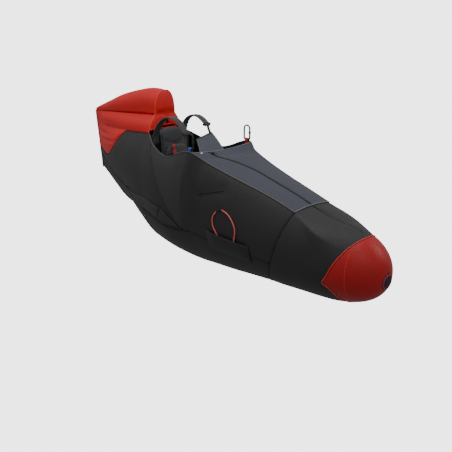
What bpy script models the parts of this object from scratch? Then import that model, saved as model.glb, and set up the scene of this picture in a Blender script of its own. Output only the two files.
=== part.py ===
"""Paragliding pod harness: a reclined seat inside a streamlined cocoon with an inflated tail.

Metres, +Z up, +X towards the nose, +Y to the pilot's left. The origin lies midway between the two hang
loops, on the line where the karabiners bear on them, because the whole harness hangs from those.
"""

import math

import bmesh
import bpy
from mathutils import Vector

# Stations along the body
TAIL_X = -1.11  # top of the tail's trailing edge
TAIL_RAKE = 0.050  # how much further forward the foot of that edge lies
RED_KINK_X = -0.69  # where the tail's colour split leaves the shoulder line
RED_TIP_X = -0.965  # lowest point of the red on the tail's flank
FAIRING_X = -0.445  # front of the tail fairing, behind the pilot's neck
REAR_SEAM_X = -0.385  # seam between the tail's flank and the pod's side, at the rim
REAR_SEAM_SLANT = 0.32  # how much further forward that seam is at the chine
RIM_LOW_X = -0.20  # lowest point of the cockpit rim
COVER_X = 0.022  # rear edge of the leg cover
RIDGE_DIP_X = 0.085  # where the ridge, drawn up to the hang loop, levels out
FRONT_SEAM_X = 0.641  # seam of the nose section, at the ridge
FRONT_SEAM_SLANT = 0.22  # how much further back that seam is under the belly
NOSE_BASE_X = 0.80  # where the round nose begins
NOSE_X = 1.09  # tip of the nose
NOSE_ROUND_X = 0.98  # where the last of the ridges has melted into the round nose

# Heights of the long lines of the body
CROWN_Z = 0.272  # top of the tail hump
CREASE_Z = 0.129  # seam under the hump, at its front
TAIL_TIP_Z = 0.099  # top of the trailing edge
TAIL_FOOT_Z = -0.274  # foot of the trailing edge
SHOULDER_Z = 0.025  # top of the black flank, at the fairing's front
TAIL_SHOULDER_Z = 0.012  # the same line at the trailing edge
RED_TIP_Z = -0.165  # lowest point of the red on the tail's flank
RED_EDGE_Z = -0.135  # where the red ends on the trailing edge
RIM_LOW_Z = -0.065  # lowest point of the cockpit rim
RIDGE_Z = -0.011  # ridge beside the hang loop
RIDGE_DIP_Z = -0.056  # ridge where it levels out
FRONT_RIDGE_Z = -0.245  # ridge at the nose section's seam
NOSE_TOP_Z = -0.290  # top of the body where the round nose begins
NOSE_Z = -0.480  # tip of the nose
BELLY_Z = -0.680  # underside of the body
COVER_SAG = 0.015  # how far the leg cover's rear edge hangs below the ridge
COVER_RISE_X = 0.150  # where the leg cover has come up to its full height
COVER_CROWN = 0.011  # how far the leg cover stands above the ridge further on

# Half widths of the body
CREASE_HALF = 0.075
SHOULDER_HALF = 0.129
RIM_HALF = 0.222
RIDGE_HALF = 0.243
RIDGE_DIP_HALF = 0.206
FRONT_RIDGE_HALF = 0.143
HIP_HALF = 0.255
KNEE_HALF = 0.205
NOSE_HALF = 0.185
EDGE_HALF = 0.006  # trailing edge

# Fullness of the two ends, as powers and shares of a plain round section
NOSE_TOP_POWER = 1.2
NOSE_BELLY_POWER = 0.7
NOSE_SQUARENESS = 0.4
TAIL_KEEL = 0.35

# Cloth and clearances
WALL = 0.003  # padded laminate of the skin
SEAM = 0.0004  # gap between neighbouring pieces
SKIN_PLAY = 0.0006  # gap between the skin and what lies on or inside it
BLOCK_PLAY = 0.0009  # the same for the blocks that fill the bottom of the body

# Hang points and karabiners
HANG_SPAN = 0.450
ROD_R = 0.005
KARABINER_WIDTH = 0.052
KARABINER_HEIGHT = 0.090
GATE_R = 0.0045
GATE_PIN_R = 0.0015
SLEEVE_R = 0.0070
SLEEVE_LENGTH = 0.014
SLEEVE_DROP = 0.006
RUN_GAP = 0.0003
LOOP_WIDTH = 0.022
LOOP_WALL = 0.003
LOOP_TAIL = 0.030
RISER_FOOT_LIFT = 0.015

# Webbing and straps
WEBBING_WIDTH = 0.025
WEBBING_THICK = 0.0022
STRAP_WIDTH = 0.046
STRAP_THICK = 0.009
STRAP_Y = 0.116
STRAP_ROOT_Z = -0.055
ADJUSTER_LENGTH = 0.012
ADJUSTER_RIM = 0.003
CHEST_WEBBING = 0.020
CHEST_FOOT_Z = -0.095

# Seat, back and feet
SEAT_WIDTH = 0.330
SEAT_LENGTH = 0.360
SEAT_THICK = 0.006
SEAT_TILT = 12.0
SEAT_X = -0.075
SEAT_Z = -0.475
BACK_FOOT_X = -0.244
BACK_TOP = (-0.409, 0.040)
BACK_START = 0.084  # the cushion begins this far up the back's line
BACK_HALF_LOW = SEAT_WIDTH / 2
BACK_HALF_TOP = 0.080
BACK_THICK = 0.026
LUMBAR_HALF = 0.105
LUMBAR_HEIGHT = 0.200
LUMBAR_START = 0.269
LUMBAR_THICK = 0.020
BULKHEAD_X = -0.452
BULKHEAD_THICK = 0.003
PROTECTOR_X = (-0.370, 0.110)
FOOTPLATE_X = 0.780
FOOTPLATE_THICK = 0.005
FOOTPLATE_TOP_Z = -0.400

# Reserve parachute
BAG_X = (0.170, 0.400)
BAG_TOP_Z = -0.560
HANDLE_APEX = (0.228, -0.288)
HANDLE_WIDTH = 0.146
HANDLE_HEIGHT = 0.142
HANDLE_R = 0.0033
HANDLE_TUCK = 0.020
HANDLE_LIFT = 0.0003
FLAP_X = (0.130, 0.410)
FLAP_T = (0.412, 0.560)
FLAP_THICK = 0.0016
FLAP_POCKET = 0.0110

# Zips
ZIP_HALF = 0.005
ZIP_THICK = 0.0016
ZIP_TOP_Y = -0.112
ZIP_BEND_X = 0.245
ZIP_NOSE_X = 0.945
SLIDER = (0.016, 0.011, 0.006)
TAB = (0.026, 0.007, 0.0018)
SLIDER_LIFT = 0.0013
POCKET_ZIP_X = (0.080, 0.230)
POCKET_ZIP_T = (0.207, 0.111)
POCKET_ZIP_HALF = 0.0045
POCKET_SLIDER_LIFT = 0.0006

# Nose intake
INTAKE_Z = -0.530
INTAKE_R = 0.038
INTAKE_WALL = 0.004
INTAKE_LENGTH = 0.012
NET_CELLS = 7
NET_BAR = 0.0016

# Speed system
BAR_X = 0.520
BAR_Z = -0.575
BAR_LENGTH = 0.200
BAR_R = 0.008
PULLEY_R = 0.011
PULLEY_WIDTH = 0.006
PULLEY_AXLE_R = 0.002
PULLEY_X = -0.004
PULLEY_Z = -0.360
CHEEK_THICK = 0.002
LINE_R = 0.0015

# Leg buckle
BUCKLE_Y = -0.046
BUCKLE_UP = 0.399
BUCKLE = (0.044, 0.046, 0.012)
TONGUE = (0.026, 0.052, 0.0030)
BUTTON = (0.007, 0.015, 0.0056)
BUTTON_TRAVEL = 0.0025
BUTTON_STAND = 0.0030

# Belly flap over the pilot's lap, hung from the left shoulder strap
FLAP_TOP_X = -0.188
FLAP_TOP_Z = 0.006
FLAP_TIP_Z = 0.034
FLAP_TOP_Y = (0.004, 0.125)
FLAP_FOOT_Y = (-0.172, 0.010)

# Shares of the half section, from the top centre line (0) round to the belly's centre line (1)
CREASE_A = 0.16
RIDGE_A = 0.30
CHINE_T = 0.50  # share of the way from ridge to belly where the side panel ends


def palette():
    """One material for each kind of surface."""
    kinds = {
        "red_nylon": ((0.52, 0.018, 0.016), 0.50, 0.0),
        "black_fabric": ((0.016, 0.016, 0.017), 0.75, 0.0),
        "grey_lycra": ((0.075, 0.082, 0.105), 0.70, 0.0),
        "webbing_black": ((0.020, 0.020, 0.022), 0.80, 0.0),
        "webbing_blue": ((0.030, 0.140, 0.420), 0.70, 0.0),
        "webbing_red": ((0.560, 0.050, 0.050), 0.70, 0.0),
        "padding": ((0.030, 0.033, 0.036), 0.85, 0.0),
        "carbon": ((0.020, 0.020, 0.022), 0.30, 0.0),
        "foam": ((0.100, 0.100, 0.110), 0.90, 0.0),
        "black_anodised": ((0.015, 0.015, 0.016), 0.35, 0.9),
        "steel": ((0.550, 0.560, 0.580), 0.30, 1.0),
        "plastic": ((0.020, 0.020, 0.020), 0.50, 0.0),
        "red_plastic": ((0.500, 0.030, 0.030), 0.40, 0.0),
        "zip": ((0.010, 0.012, 0.018), 0.60, 0.0),
        "net": ((0.030, 0.018, 0.022), 0.80, 0.0),
    }
    made = {}
    for name, (colour, roughness, metallic) in kinds.items():
        material = bpy.data.materials.new(name)
        material.use_nodes = True
        shader = material.node_tree.nodes["Principled BSDF"]
        shader.inputs["Base Color"].default_value = (*colour, 1.0)
        shader.inputs["Roughness"].default_value = roughness
        shader.inputs["Metallic"].default_value = metallic
        made[name] = material
    return made


def lerp(a, b, share):
    return a + (b - a) * share


def smoothstep(share):
    share = min(1.0, max(0.0, share))
    return share * share * (3.0 - 2.0 * share)


def long_line(*points):
    """A smooth line of value against x through these points, with no overshoot between them."""
    xs = [p[0] for p in points]
    ys = [p[1] for p in points]
    rises = [(ys[i + 1] - ys[i]) / (xs[i + 1] - xs[i]) for i in range(len(xs) - 1)]
    slopes = [rises[0]]
    for before, after in zip(rises, rises[1:]):
        same_way = before * after > 0
        slopes.append(2 * before * after / (before + after) if same_way else 0.0)
    slopes.append(rises[-1])

    def value(x):
        if x <= xs[0]:
            return ys[0]
        if x >= xs[-1]:
            return ys[-1]
        i = max(k for k in range(len(xs) - 1) if xs[k] <= x)
        span = xs[i + 1] - xs[i]
        s = (x - xs[i]) / span
        return (
            (1 + 2 * s) * (1 - s) ** 2 * ys[i]
            + s * (1 - s) ** 2 * span * slopes[i]
            + s * s * (3 - 2 * s) * ys[i + 1]
            + s * s * (s - 1) * span * slopes[i + 1]
        )

    return value


# The long lines that shape the body
ridge_z = long_line(
    (TAIL_X, TAIL_SHOULDER_Z),
    (RED_KINK_X, lerp(TAIL_SHOULDER_Z, SHOULDER_Z, 0.25)),
    (FAIRING_X, SHOULDER_Z),
    (lerp(FAIRING_X, RIM_LOW_X, 0.43), lerp(SHOULDER_Z, RIM_LOW_Z, 0.5)),
    (RIM_LOW_X, RIM_LOW_Z),
    (0.0, RIDGE_Z),
    (RIDGE_DIP_X, RIDGE_DIP_Z),
    (FRONT_SEAM_X, FRONT_RIDGE_Z),
    (NOSE_BASE_X, lerp(FRONT_RIDGE_Z, NOSE_TOP_Z, 1.6)),
)
ridge_half = long_line(
    (FAIRING_X, SHOULDER_HALF),
    (lerp(FAIRING_X, RIM_LOW_X, 0.5), lerp(SHOULDER_HALF, RIM_HALF, 0.72)),
    (RIM_LOW_X, RIM_HALF),
    (0.0, RIDGE_HALF),
    (RIDGE_DIP_X, RIDGE_DIP_HALF),
    (FRONT_SEAM_X, FRONT_RIDGE_HALF),
    (NOSE_BASE_X, lerp(FRONT_RIDGE_HALF, NOSE_HALF, 0.4)),
)
side_half = long_line(
    (FAIRING_X, lerp(SHOULDER_HALF, HIP_HALF, 0.85)),
    (RIM_LOW_X, HIP_HALF),
    (0.0, lerp(HIP_HALF, RIDGE_HALF, 0.2)),
    (FRONT_SEAM_X, KNEE_HALF),
    (NOSE_BASE_X, NOSE_HALF),
)
belly_z = long_line(
    (TAIL_X, TAIL_FOOT_Z),
    (lerp(TAIL_X, FAIRING_X, 0.39), lerp(TAIL_FOOT_Z, BELLY_Z, 0.40)),
    (lerp(TAIL_X, FAIRING_X, 0.60), lerp(TAIL_FOOT_Z, BELLY_Z, 0.51)),
    (lerp(TAIL_X, FAIRING_X, 0.78), lerp(TAIL_FOOT_Z, BELLY_Z, 0.69)),
    (FAIRING_X, lerp(TAIL_FOOT_Z, BELLY_Z, 0.865)),
    (RIM_LOW_X, lerp(TAIL_FOOT_Z, BELLY_Z, 0.96)),
    (0.0, BELLY_Z),
    (NOSE_BASE_X, BELLY_Z),
)
crown_z = long_line(
    (TAIL_X, TAIL_TIP_Z + 0.012),
    (lerp(TAIL_X, FAIRING_X, 0.24), lerp(TAIL_TIP_Z, CROWN_Z, 0.40)),
    (lerp(TAIL_X, FAIRING_X, 0.46), lerp(TAIL_TIP_Z, CROWN_Z, 0.70)),
    (lerp(TAIL_X, FAIRING_X, 0.67), lerp(TAIL_TIP_Z, CROWN_Z, 0.885)),
    (lerp(TAIL_X, FAIRING_X, 0.88), CROWN_Z),
    (FAIRING_X, CROWN_Z - 0.006),
)
crease_z = long_line((TAIL_X, TAIL_TIP_Z - 0.004), (FAIRING_X, CREASE_Z))
cover_crown = long_line((COVER_X, -COVER_SAG), (COVER_RISE_X, COVER_CROWN), (FRONT_SEAM_X, COVER_CROWN))
red_edge_z = long_line((TAIL_X, RED_EDGE_Z), (RED_TIP_X, RED_TIP_Z), (RED_KINK_X, ridge_z(RED_KINK_X)))
zip_y = long_line(
    (COVER_X, ZIP_TOP_Y),
    (lerp(COVER_X, ZIP_BEND_X, 0.5), lerp(ZIP_TOP_Y, 0.0, 0.5)),
    (lerp(COVER_X, ZIP_BEND_X, 0.8), lerp(ZIP_TOP_Y, 0.0, 0.8)),
    (lerp(COVER_X, ZIP_BEND_X, 1.2), 0.0),
    (FRONT_SEAM_X, 0.0),
)


def nose_profile(x):
    """Top, underside and half width of the body at x, with the nose rounded off to its tip."""
    base = min(x, NOSE_BASE_X)
    top = lerp(FRONT_RIDGE_Z + COVER_CROWN, NOSE_TOP_Z, (base - FRONT_SEAM_X) / (NOSE_BASE_X - FRONT_SEAM_X))
    half = side_half(base)
    if x <= NOSE_BASE_X:
        return top, BELLY_Z, half
    share = min(1.0, (x - NOSE_BASE_X) / (NOSE_X - NOSE_BASE_X))
    full = math.sqrt(max(0.0, 1.0 - share**2)) ** 0.9
    return lerp(NOSE_Z, top, full**NOSE_TOP_POWER), lerp(NOSE_Z, BELLY_Z, full**NOSE_BELLY_POWER), half * full


def bezier(points, t):
    while len(points) > 1:
        points = [(lerp(p[0], q[0], t), lerp(p[1], q[1], t)) for p, q in zip(points, points[1:])]
    return points[0]


def flank(x, t, taper=1.0):
    """(y, z) on the side of the body: t runs from the ridge (0) to the belly's centre line (1)."""
    top, bottom = ridge_z(x), belly_z(x)
    drop = bottom - top

    def half(width):
        return lerp(EDGE_HALF, width, taper)

    keel = lerp(TAIL_KEEL, 1.0, smoothstep((x - TAIL_X) / -TAIL_X))
    bulge = half(side_half(x) * 1.13)
    return bezier(
        [
            (half(ridge_half(x)), top),
            (bulge, top + 0.30 * drop),
            (bulge * lerp(1.0, keel, 0.35), top + 0.75 * drop),
            (half(side_half(x) * 0.62 * keel), bottom),
            (0.0, bottom),
        ],
        t,
    )


def tail_share(x):
    return min(1.0, max(0.0, (x - TAIL_X) / (FAIRING_X - TAIL_X)))


def tail_section(x, a):
    """(y, z) of the tapering tail."""
    share = tail_share(x)
    taper = share * (1.5 - 0.5 * share)
    crease = (lerp(EDGE_HALF, CREASE_HALF, taper), crease_z(x))
    if a <= CREASE_A:
        angle = a / CREASE_A * math.pi / 2
        return crease[0] * math.sin(angle) ** 0.85, lerp(crease[1], crown_z(x), math.cos(angle) ** 0.8)
    if a >= RIDGE_A:
        return flank(x, (a - RIDGE_A) / (1 - RIDGE_A), taper)
    s = (a - CREASE_A) / (RIDGE_A - CREASE_A)
    shoulder = flank(x, 0.0, taper)
    bulge = 0.10 * CREASE_HALF * taper * math.sin(math.pi * s)
    return lerp(crease[0], shoulder[0], s) + bulge, lerp(crease[1], shoulder[1], s) + 0.5 * bulge


def pod_section(x, a):
    """(y, z) of the pod: a flat top between two ridges that melts into a round nose."""
    if a <= RIDGE_A:
        p = a / RIDGE_A
        y, z = ridge_half(x) * p, ridge_z(x) + cover_crown(x) * (1 - p * p)
    else:
        y, z = flank(x, (a - RIDGE_A) / (1 - RIDGE_A))
    rounding = smoothstep((x - FRONT_SEAM_X) / (NOSE_BASE_X + 0.05 - FRONT_SEAM_X))
    if rounding == 0.0:
        return y, z
    top, bottom, half = nose_profile(x)
    ridge_angle = math.radians(50)
    if a <= RIDGE_A:
        angle = ridge_angle * a / RIDGE_A
    else:
        angle = lerp(ridge_angle, math.pi, (a - RIDGE_A) / (1 - RIDGE_A))
    middle = lerp(bottom, top, 0.47)
    across, upward = math.sin(angle), math.cos(angle)
    if upward > 0:
        power = lerp(NOSE_SQUARENESS, 1.0, smoothstep((x - FRONT_SEAM_X) / (NOSE_ROUND_X - FRONT_SEAM_X)))
        across, upward = across**power, upward**power * (top - middle)
    else:
        upward *= middle - bottom
    return lerp(y, half * across, rounding), lerp(z, middle + upward, rounding)


def hull(x, a, depth=0.0):
    """A point of the body: a runs from the top centre line (0) to the belly (1), negative on the right.
    depth is measured inwards, and is negative outside the skin."""
    side = -1.0 if a < 0 else 1.0
    in_tail = x < FAIRING_X
    y, z = tail_section(x, abs(a)) if in_tail else pod_section(x, abs(a))
    place = Vector((x, side * y, z))
    heart_low, heart_high = belly_z(x) + 0.20, ridge_z(x) - 0.16
    if in_tail:
        rake = TAIL_RAKE * (1 - tail_share(x)) * (TAIL_TIP_Z - z) / (TAIL_TIP_Z - TAIL_FOOT_Z)
        place.x += max(0.0, rake)
        room = lerp(0.01, 0.20, tail_share(x))
        heart_low, heart_high = belly_z(x) + room, crown_z(x) - room
    if heart_low > heart_high:
        heart_low = heart_high = (heart_low + heart_high) / 2
    heart = Vector((min(place.x, NOSE_X - 0.16), 0.0, min(max(z, heart_low), heart_high)))
    return place + (heart - place).normalized() * depth


def hull_edge_offset():
    """A seam's half gap as a share of the half section."""
    return SEAM / 2 / 0.85


def side_a(t):
    return RIDGE_A + (1 - RIDGE_A) * t


def section_share_at(x, z):
    """The share a of the half section whose point on the flank has height z."""
    low, high = 0.0, 1.0
    for _ in range(40):
        middle = (low + high) / 2
        if hull(x, side_a(middle)).z > z:
            low = middle
        else:
            high = middle
    return side_a((low + high) / 2)


def new_object(name, mesh, material, origin):
    mesh.materials.append(material)
    mesh.shade_smooth()
    mesh.set_sharp_from_angle(angle=math.radians(35))
    made = bpy.data.objects.new(name, mesh)
    made.location = origin
    bpy.context.scene.collection.objects.link(made)
    return made


def add_solid(name, points, faces, material, origin=(0, 0, 0)):
    """An object of these points and faces, in world places, with its own origin."""
    origin = Vector(origin)
    mesh = bpy.data.meshes.new(name)
    mesh.from_pydata([tuple(Vector(p) - origin) for p in points], [], faces)
    shape = bmesh.new()
    shape.from_mesh(mesh)
    bmesh.ops.remove_doubles(shape, verts=shape.verts, dist=1e-6)
    bmesh.ops.recalc_face_normals(shape, faces=shape.faces)
    shape.to_mesh(mesh)
    shape.free()
    return new_object(name, mesh, material, origin)


def grid_faces(rows, columns, start, wrap):
    faces = []
    for i in range(rows - 1):
        for j in range(columns if wrap else columns - 1):
            k = (j + 1) % columns
            a, b = start + i * columns + j, start + i * columns + k
            c, d = start + (i + 1) * columns + k, start + (i + 1) * columns + j
            faces += [(a, b, c), (a, c, d)]
    return faces


def add_sheet(name, outer, inner, material, wrap=False, origin=(0, 0, 0)):
    """A closed sheet between two grids of points. wrap joins the last column to the first."""
    rows, columns = len(outer), len(outer[0])
    points = [p for row in outer for p in row] + [p for row in inner for p in row]
    half = rows * columns
    faces = grid_faces(rows, columns, 0, wrap)
    faces += [(c, b, a) for a, b, c in grid_faces(rows, columns, half, wrap)]
    ring = [(0, j) for j in range(columns)]
    edges = [[ring[j], ring[(j + 1) % columns]] for j in range(columns if wrap else columns - 1)]
    edges += [[(rows - 1, b[1]), (rows - 1, a[1])] for a, b in edges]
    if not wrap:
        edges += [[(i + 1, 0), (i, 0)] for i in range(rows - 1)]
        edges += [[(i, columns - 1), (i + 1, columns - 1)] for i in range(rows - 1)]
    for a, b in edges:
        p, q = a[0] * columns + a[1], b[0] * columns + b[1]
        faces += [(q, p, half + p), (q, half + p, half + q)]
    return add_solid(name, points, faces, material, origin)


def hull_sheet(name, places, material, depths=(0.0, WALL), wrap=False):
    """A panel of the skin: places is a grid of (x, a) pairs."""
    outer, inner = ([[hull(x, a, d) for x, a in row] for row in places] for d in depths)
    return add_sheet(name, outer, inner, material, wrap)


def shares(count):
    return [i / (count - 1) for i in range(count)]


def box_points(centre, size, axes):
    """Corners of a box about centre, with its three axes given as unit vectors."""
    halves = [axis * (length / 2) for axis, length in zip(axes, size)]
    corners = []
    for sx, sy, sz in ((x, y, z) for x in (-1, 1) for y in (-1, 1) for z in (-1, 1)):
        corners.append(centre + halves[0] * sx + halves[1] * sy + halves[2] * sz)
    return corners


BOX_FACES = [(0, 1, 3, 2), (4, 6, 7, 5), (0, 4, 5, 1), (2, 3, 7, 6), (0, 2, 6, 4), (1, 5, 7, 3)]
WORLD_AXES = (Vector((1, 0, 0)), Vector((0, 1, 0)), Vector((0, 0, 1)))


def add_box(name, centre, size, material, axes=WORLD_AXES, bevel=0.0, origin=(0, 0, 0)):
    made = add_solid(name, box_points(Vector(centre), size, axes), BOX_FACES, material, origin)
    if bevel:
        rounding = made.modifiers.new("rounding", "BEVEL")
        rounding.width = bevel
        rounding.segments = 2
    return made


def turned(name, profile, centre, axis, material, sides=24, origin=None):
    """A solid of revolution: profile is a closed loop of (radius, distance along axis)."""
    axis = Vector(axis).normalized()
    across = axis.orthogonal().normalized()
    other = axis.cross(across)
    points = []
    for i in range(sides):
        angle = 2 * math.pi * i / sides
        spoke = across * math.cos(angle) + other * math.sin(angle)
        points += [Vector(centre) + spoke * r + axis * h for r, h in profile]
    count = len(profile)
    faces = []
    for i in range(sides):
        for j in range(count):
            a, b = i * count + j, i * count + (j + 1) % count
            c, d = ((i + 1) % sides) * count + (j + 1) % count, ((i + 1) % sides) * count + j
            faces.append((a, b, c, d))
    return add_solid(name, points, faces, material, centre if origin is None else origin)


def add_rod(name, start, end, radius, material, sides=16, origin=None):
    start, end = Vector(start), Vector(end)
    axis = (end - start).normalized()
    across = axis.orthogonal().normalized()
    other = axis.cross(across)
    points = []
    for place in (start, end):
        for i in range(sides):
            angle = 2 * math.pi * i / sides
            points.append(place + (across * math.cos(angle) + other * math.sin(angle)) * radius)
    faces = [(i, (i + 1) % sides, sides + (i + 1) % sides, sides + i) for i in range(sides)]
    faces += [tuple(range(sides)), tuple(range(2 * sides - 1, sides - 1, -1))]
    return add_solid(name, points, faces, material, start if origin is None else origin)


def smooth_path(points, count):
    """Points read from a smooth curve through the given ones, evenly by share."""
    points = [Vector(p) for p in points]
    ends = [points[0] * 2 - points[1], *points, points[-1] * 2 - points[-2]]
    read = []
    for share in shares(count):
        place = share * (len(points) - 1)
        i = min(int(place), len(points) - 2)
        t = place - i
        p0, p1, p2, p3 = ends[i : i + 4]
        read.append(
            0.5
            * (
                2 * p1
                + (p2 - p0) * t
                + (2 * p0 - 5 * p1 + 4 * p2 - p3) * t**2
                + (3 * p1 - p0 - 3 * p2 + p3) * t**3
            )
        )
    return read


def add_ribbon(name, path, across, width, thick, material):
    """A flat strap along path. across is the direction of its width."""
    across = Vector(across).normalized()
    grids = ([], [])
    for i, place in enumerate(path):
        ahead = path[min(i + 1, len(path) - 1)] - path[max(i - 1, 0)]
        normal = ahead.cross(across).normalized()
        for grid, sign in zip(grids, (1, -1)):
            middle = place + normal * (sign * thick / 2)
            grid.append([middle - across * (width / 2), middle + across * (width / 2)])
    return add_sheet(name, grids[0], grids[1], material)


def add_tube(name, path, radius, material, sides_step=2, origin=(0, 0, 0)):
    """A round cord or bar along path, as a bevelled curve."""
    origin = Vector(origin)
    data = bpy.data.curves.new(name, "CURVE")
    data.dimensions = "3D"
    data.bevel_depth = radius
    data.bevel_resolution = sides_step
    data.use_fill_caps = True
    data.materials.append(material)
    spline = data.splines.new("POLY")
    spline.points.add(len(path) - 1)
    for point, place in zip(spline.points, path):
        point.co = (*(Vector(place) - origin), 1.0)
    made = bpy.data.objects.new(name, data)
    made.location = origin
    bpy.context.scene.collection.objects.link(made)
    return as_mesh(made)


def cut(target, cutter, operation="DIFFERENCE"):
    """Cuts, or joins, a helper into a part and keeps the helper out of the model."""
    change = target.modifiers.new("cut_" + cutter.name, "BOOLEAN")
    change.operation = operation
    change.solver = "EXACT"
    change.object = cutter
    cutter.hide_render = True
    cutter.display_type = "WIRE"


def as_mesh(curve_object):
    """The same object with its curve turned into a mesh, so that it can be cut."""
    graph = bpy.context.evaluated_depsgraph_get()
    bpy.context.view_layer.update()
    mesh = bpy.data.meshes.new_from_object(curve_object.evaluated_get(graph))
    name, place = curve_object.name, curve_object.location.copy()
    material = curve_object.data.materials[0]
    bpy.data.objects.remove(curve_object)
    shape = bmesh.new()
    shape.from_mesh(mesh)
    bmesh.ops.remove_doubles(shape, verts=shape.verts, dist=1e-6)
    bmesh.ops.recalc_face_normals(shape, faces=shape.faces)
    shape.to_mesh(mesh)
    shape.free()
    mesh.materials.clear()
    return new_object(name, mesh, material, place)


# Stations that neighbouring panels share, so that their facets meet
TAIL_STATIONS = [lerp(TAIL_X, FAIRING_X, s) for s in (0.0, 0.08, 0.18, 0.28, 0.40, 0.52, 0.64, 0.76, 0.88, 1.0)]
COVER_STATIONS = [lerp(COVER_X, ZIP_BEND_X, s) for s in (0.0, 0.25, 0.5, 0.75, 1.0)]
COVER_STATIONS += [lerp(ZIP_BEND_X, FRONT_SEAM_X, s) for s in (0.08, 0.25, 0.5, 0.75, 1.0)]
RIM_STATIONS = [lerp(REAR_SEAM_X, COVER_X, s) for s in (0.0, 0.18, 0.34, 0.52, 0.70, 0.86, 0.94)]
SIDE_STATIONS = RIM_STATIONS + COVER_STATIONS
SIDE_ROWS = shares(9)
BELLY_ROWS = shares(11)
REAR_SHARES = shares(6)  # of the way from the fairing's front to the rear side seam
COVER_COLUMNS = shares(4)


def rear_seam_x(a):
    """x of the seam between tail flank and pod side, at share a of the half section."""
    return REAR_SEAM_X + REAR_SEAM_SLANT * (abs(a) - RIDGE_A) / (side_a(CHINE_T) - RIDGE_A)


def front_seam_x(a):
    """x of the nose section's seam, at share a of the half section."""
    return FRONT_SEAM_X - FRONT_SEAM_SLANT * max(0.0, abs(a) - RIDGE_A) / (1 - RIDGE_A)


def red_edge_a(x):
    """Where the red gives way to black on the tail's flank at x, as a share of the half section."""
    return RIDGE_A if x >= RED_KINK_X else max(RIDGE_A, section_share_at(x, red_edge_z(x)))


def build_tail(looks):
    """The inflated tail: red hump and collar over black flanks."""
    gap = hull_edge_offset()
    crown_columns = [c * (CREASE_A - gap) for c in (-1, -0.82, -0.64, -0.46, -0.28, -0.1)]
    crown_columns += [-a for a in reversed(crown_columns)]
    places = [[(x, a) for a in crown_columns] for x in TAIL_STATIONS]
    places[-1] = [(x - SEAM, a) for x, a in places[-1]]
    hull_sheet("fairing_crown", places, looks["red_nylon"])

    for side, word in ((-1, "right"), (1, "left")):
        rows = []
        for x in TAIL_STATIONS:
            last = red_edge_a(x) - gap
            here = min(x, FAIRING_X - SEAM)
            rows.append([(here, side * lerp(CREASE_A + gap, last, s)) for s in shares(6)])
        hull_sheet(f"fairing_collar_{word}", rows, looks["red_nylon"])

        rows = []
        for x in TAIL_STATIONS:
            first = red_edge_a(x) + gap
            chine = side_a(CHINE_T) - gap
            rows.append([(x, side * lerp(first, chine, s)) for s in SIDE_ROWS])
        for share in REAR_SHARES[1:]:
            row = []
            for s in SIDE_ROWS:
                a = lerp(RIDGE_A + gap, side_a(CHINE_T) - gap, s)
                row.append((lerp(FAIRING_X, rear_seam_x(a) - SEAM / 2, share), side * a))
            rows.append(row)
        hull_sheet(f"tail_flank_{word}", rows, looks["black_fabric"])

    build_fairing_front(looks)
    build_tail_binding(looks)


def build_fairing_front(looks):
    """The red face that closes the hump behind the pilot's neck, sewn to the front of its skin."""
    foot = SHOULDER_Z + 0.016
    columns = []
    for share in shares(22):
        columns.append(hull(FAIRING_X - 2 * SEAM, lerp(-RIDGE_A, RIDGE_A, share)))
    centre = Vector((FAIRING_X, 0.0, lerp(foot, CREASE_Z, 0.4)))
    rings = []
    for scale, bulge in ((1.0, 0.0), (0.97, 0.004), (0.8, 0.009), (0.45, 0.013), (0.12, 0.014)):
        ring = []
        for place in columns:
            point = centre + (Vector((centre.x, place.y, max(place.z, foot))) - centre) * scale
            ring.append(point + Vector((WALL + bulge, 0, 0)))
        rings.append(ring)
    count = len(columns)
    points = [p for ring in rings for p in ring]
    faces = grid_faces(len(rings), count, 0, True)
    back = [p + Vector((-WALL, 0, 0)) for p in points]
    faces += [(c + len(points), b + len(points), a + len(points)) for a, b, c in faces]
    inner = (len(rings) - 1) * count
    faces.append(tuple(range(inner, inner + count)))
    faces.append(tuple(len(points) + inner + count - 1 - i for i in range(count)))
    for j in range(count):
        k = (j + 1) % count
        faces.append((j, k, len(points) + k, len(points) + j))
    add_solid("fairing_front", points + back, faces, looks["red_nylon"])


def build_tail_binding(looks):
    """The tape that binds both skins of the tail together along the trailing edge."""
    reach = 0.010
    edge = [hull(TAIL_X, a) for a in (CREASE_A, RIDGE_A, side_a(0.2), side_a(0.4), side_a(0.6))]
    foot = hull(TAIL_X, 1.0)
    heights = [(p.x, p.z) for p in edge] + [(foot.x, foot.z)]
    outer = [[Vector((x - SEAM, -EDGE_HALF, z)), Vector((x - SEAM, EDGE_HALF, z))] for x, z in heights]
    inner = [[p - Vector((reach, 0, 0)) for p in row] for row in outer]
    for row in inner:
        row[0].y, row[1].y = -EDGE_HALF * 0.4, EDGE_HALF * 0.4
    add_sheet("tail_edge_binding", outer, inner, looks["black_fabric"])


def build_pod(looks):
    """Black sides and belly, grey leg cover in two halves, and the nose section."""
    gap = hull_edge_offset()
    start, end = SIDE_STATIONS[0], SIDE_STATIONS[-1]
    for side, word in ((-1, "right"), (1, "left")):
        rows = []
        for station in SIDE_STATIONS:
            share = (station - start) / (end - start)
            row = []
            for s in SIDE_ROWS:
                a = lerp(RIDGE_A + gap, side_a(CHINE_T) - gap, s)
                x = lerp(rear_seam_x(a) + SEAM / 2, front_seam_x(a) - SEAM / 2, share)
                row.append((x, side * a))
            rows.append(row)
        hull_sheet(f"pod_side_{word}", rows, looks["black_fabric"])

    build_belly(looks, gap, start, end)
    build_leg_cover(looks, gap)
    build_nose(looks, gap)


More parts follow.
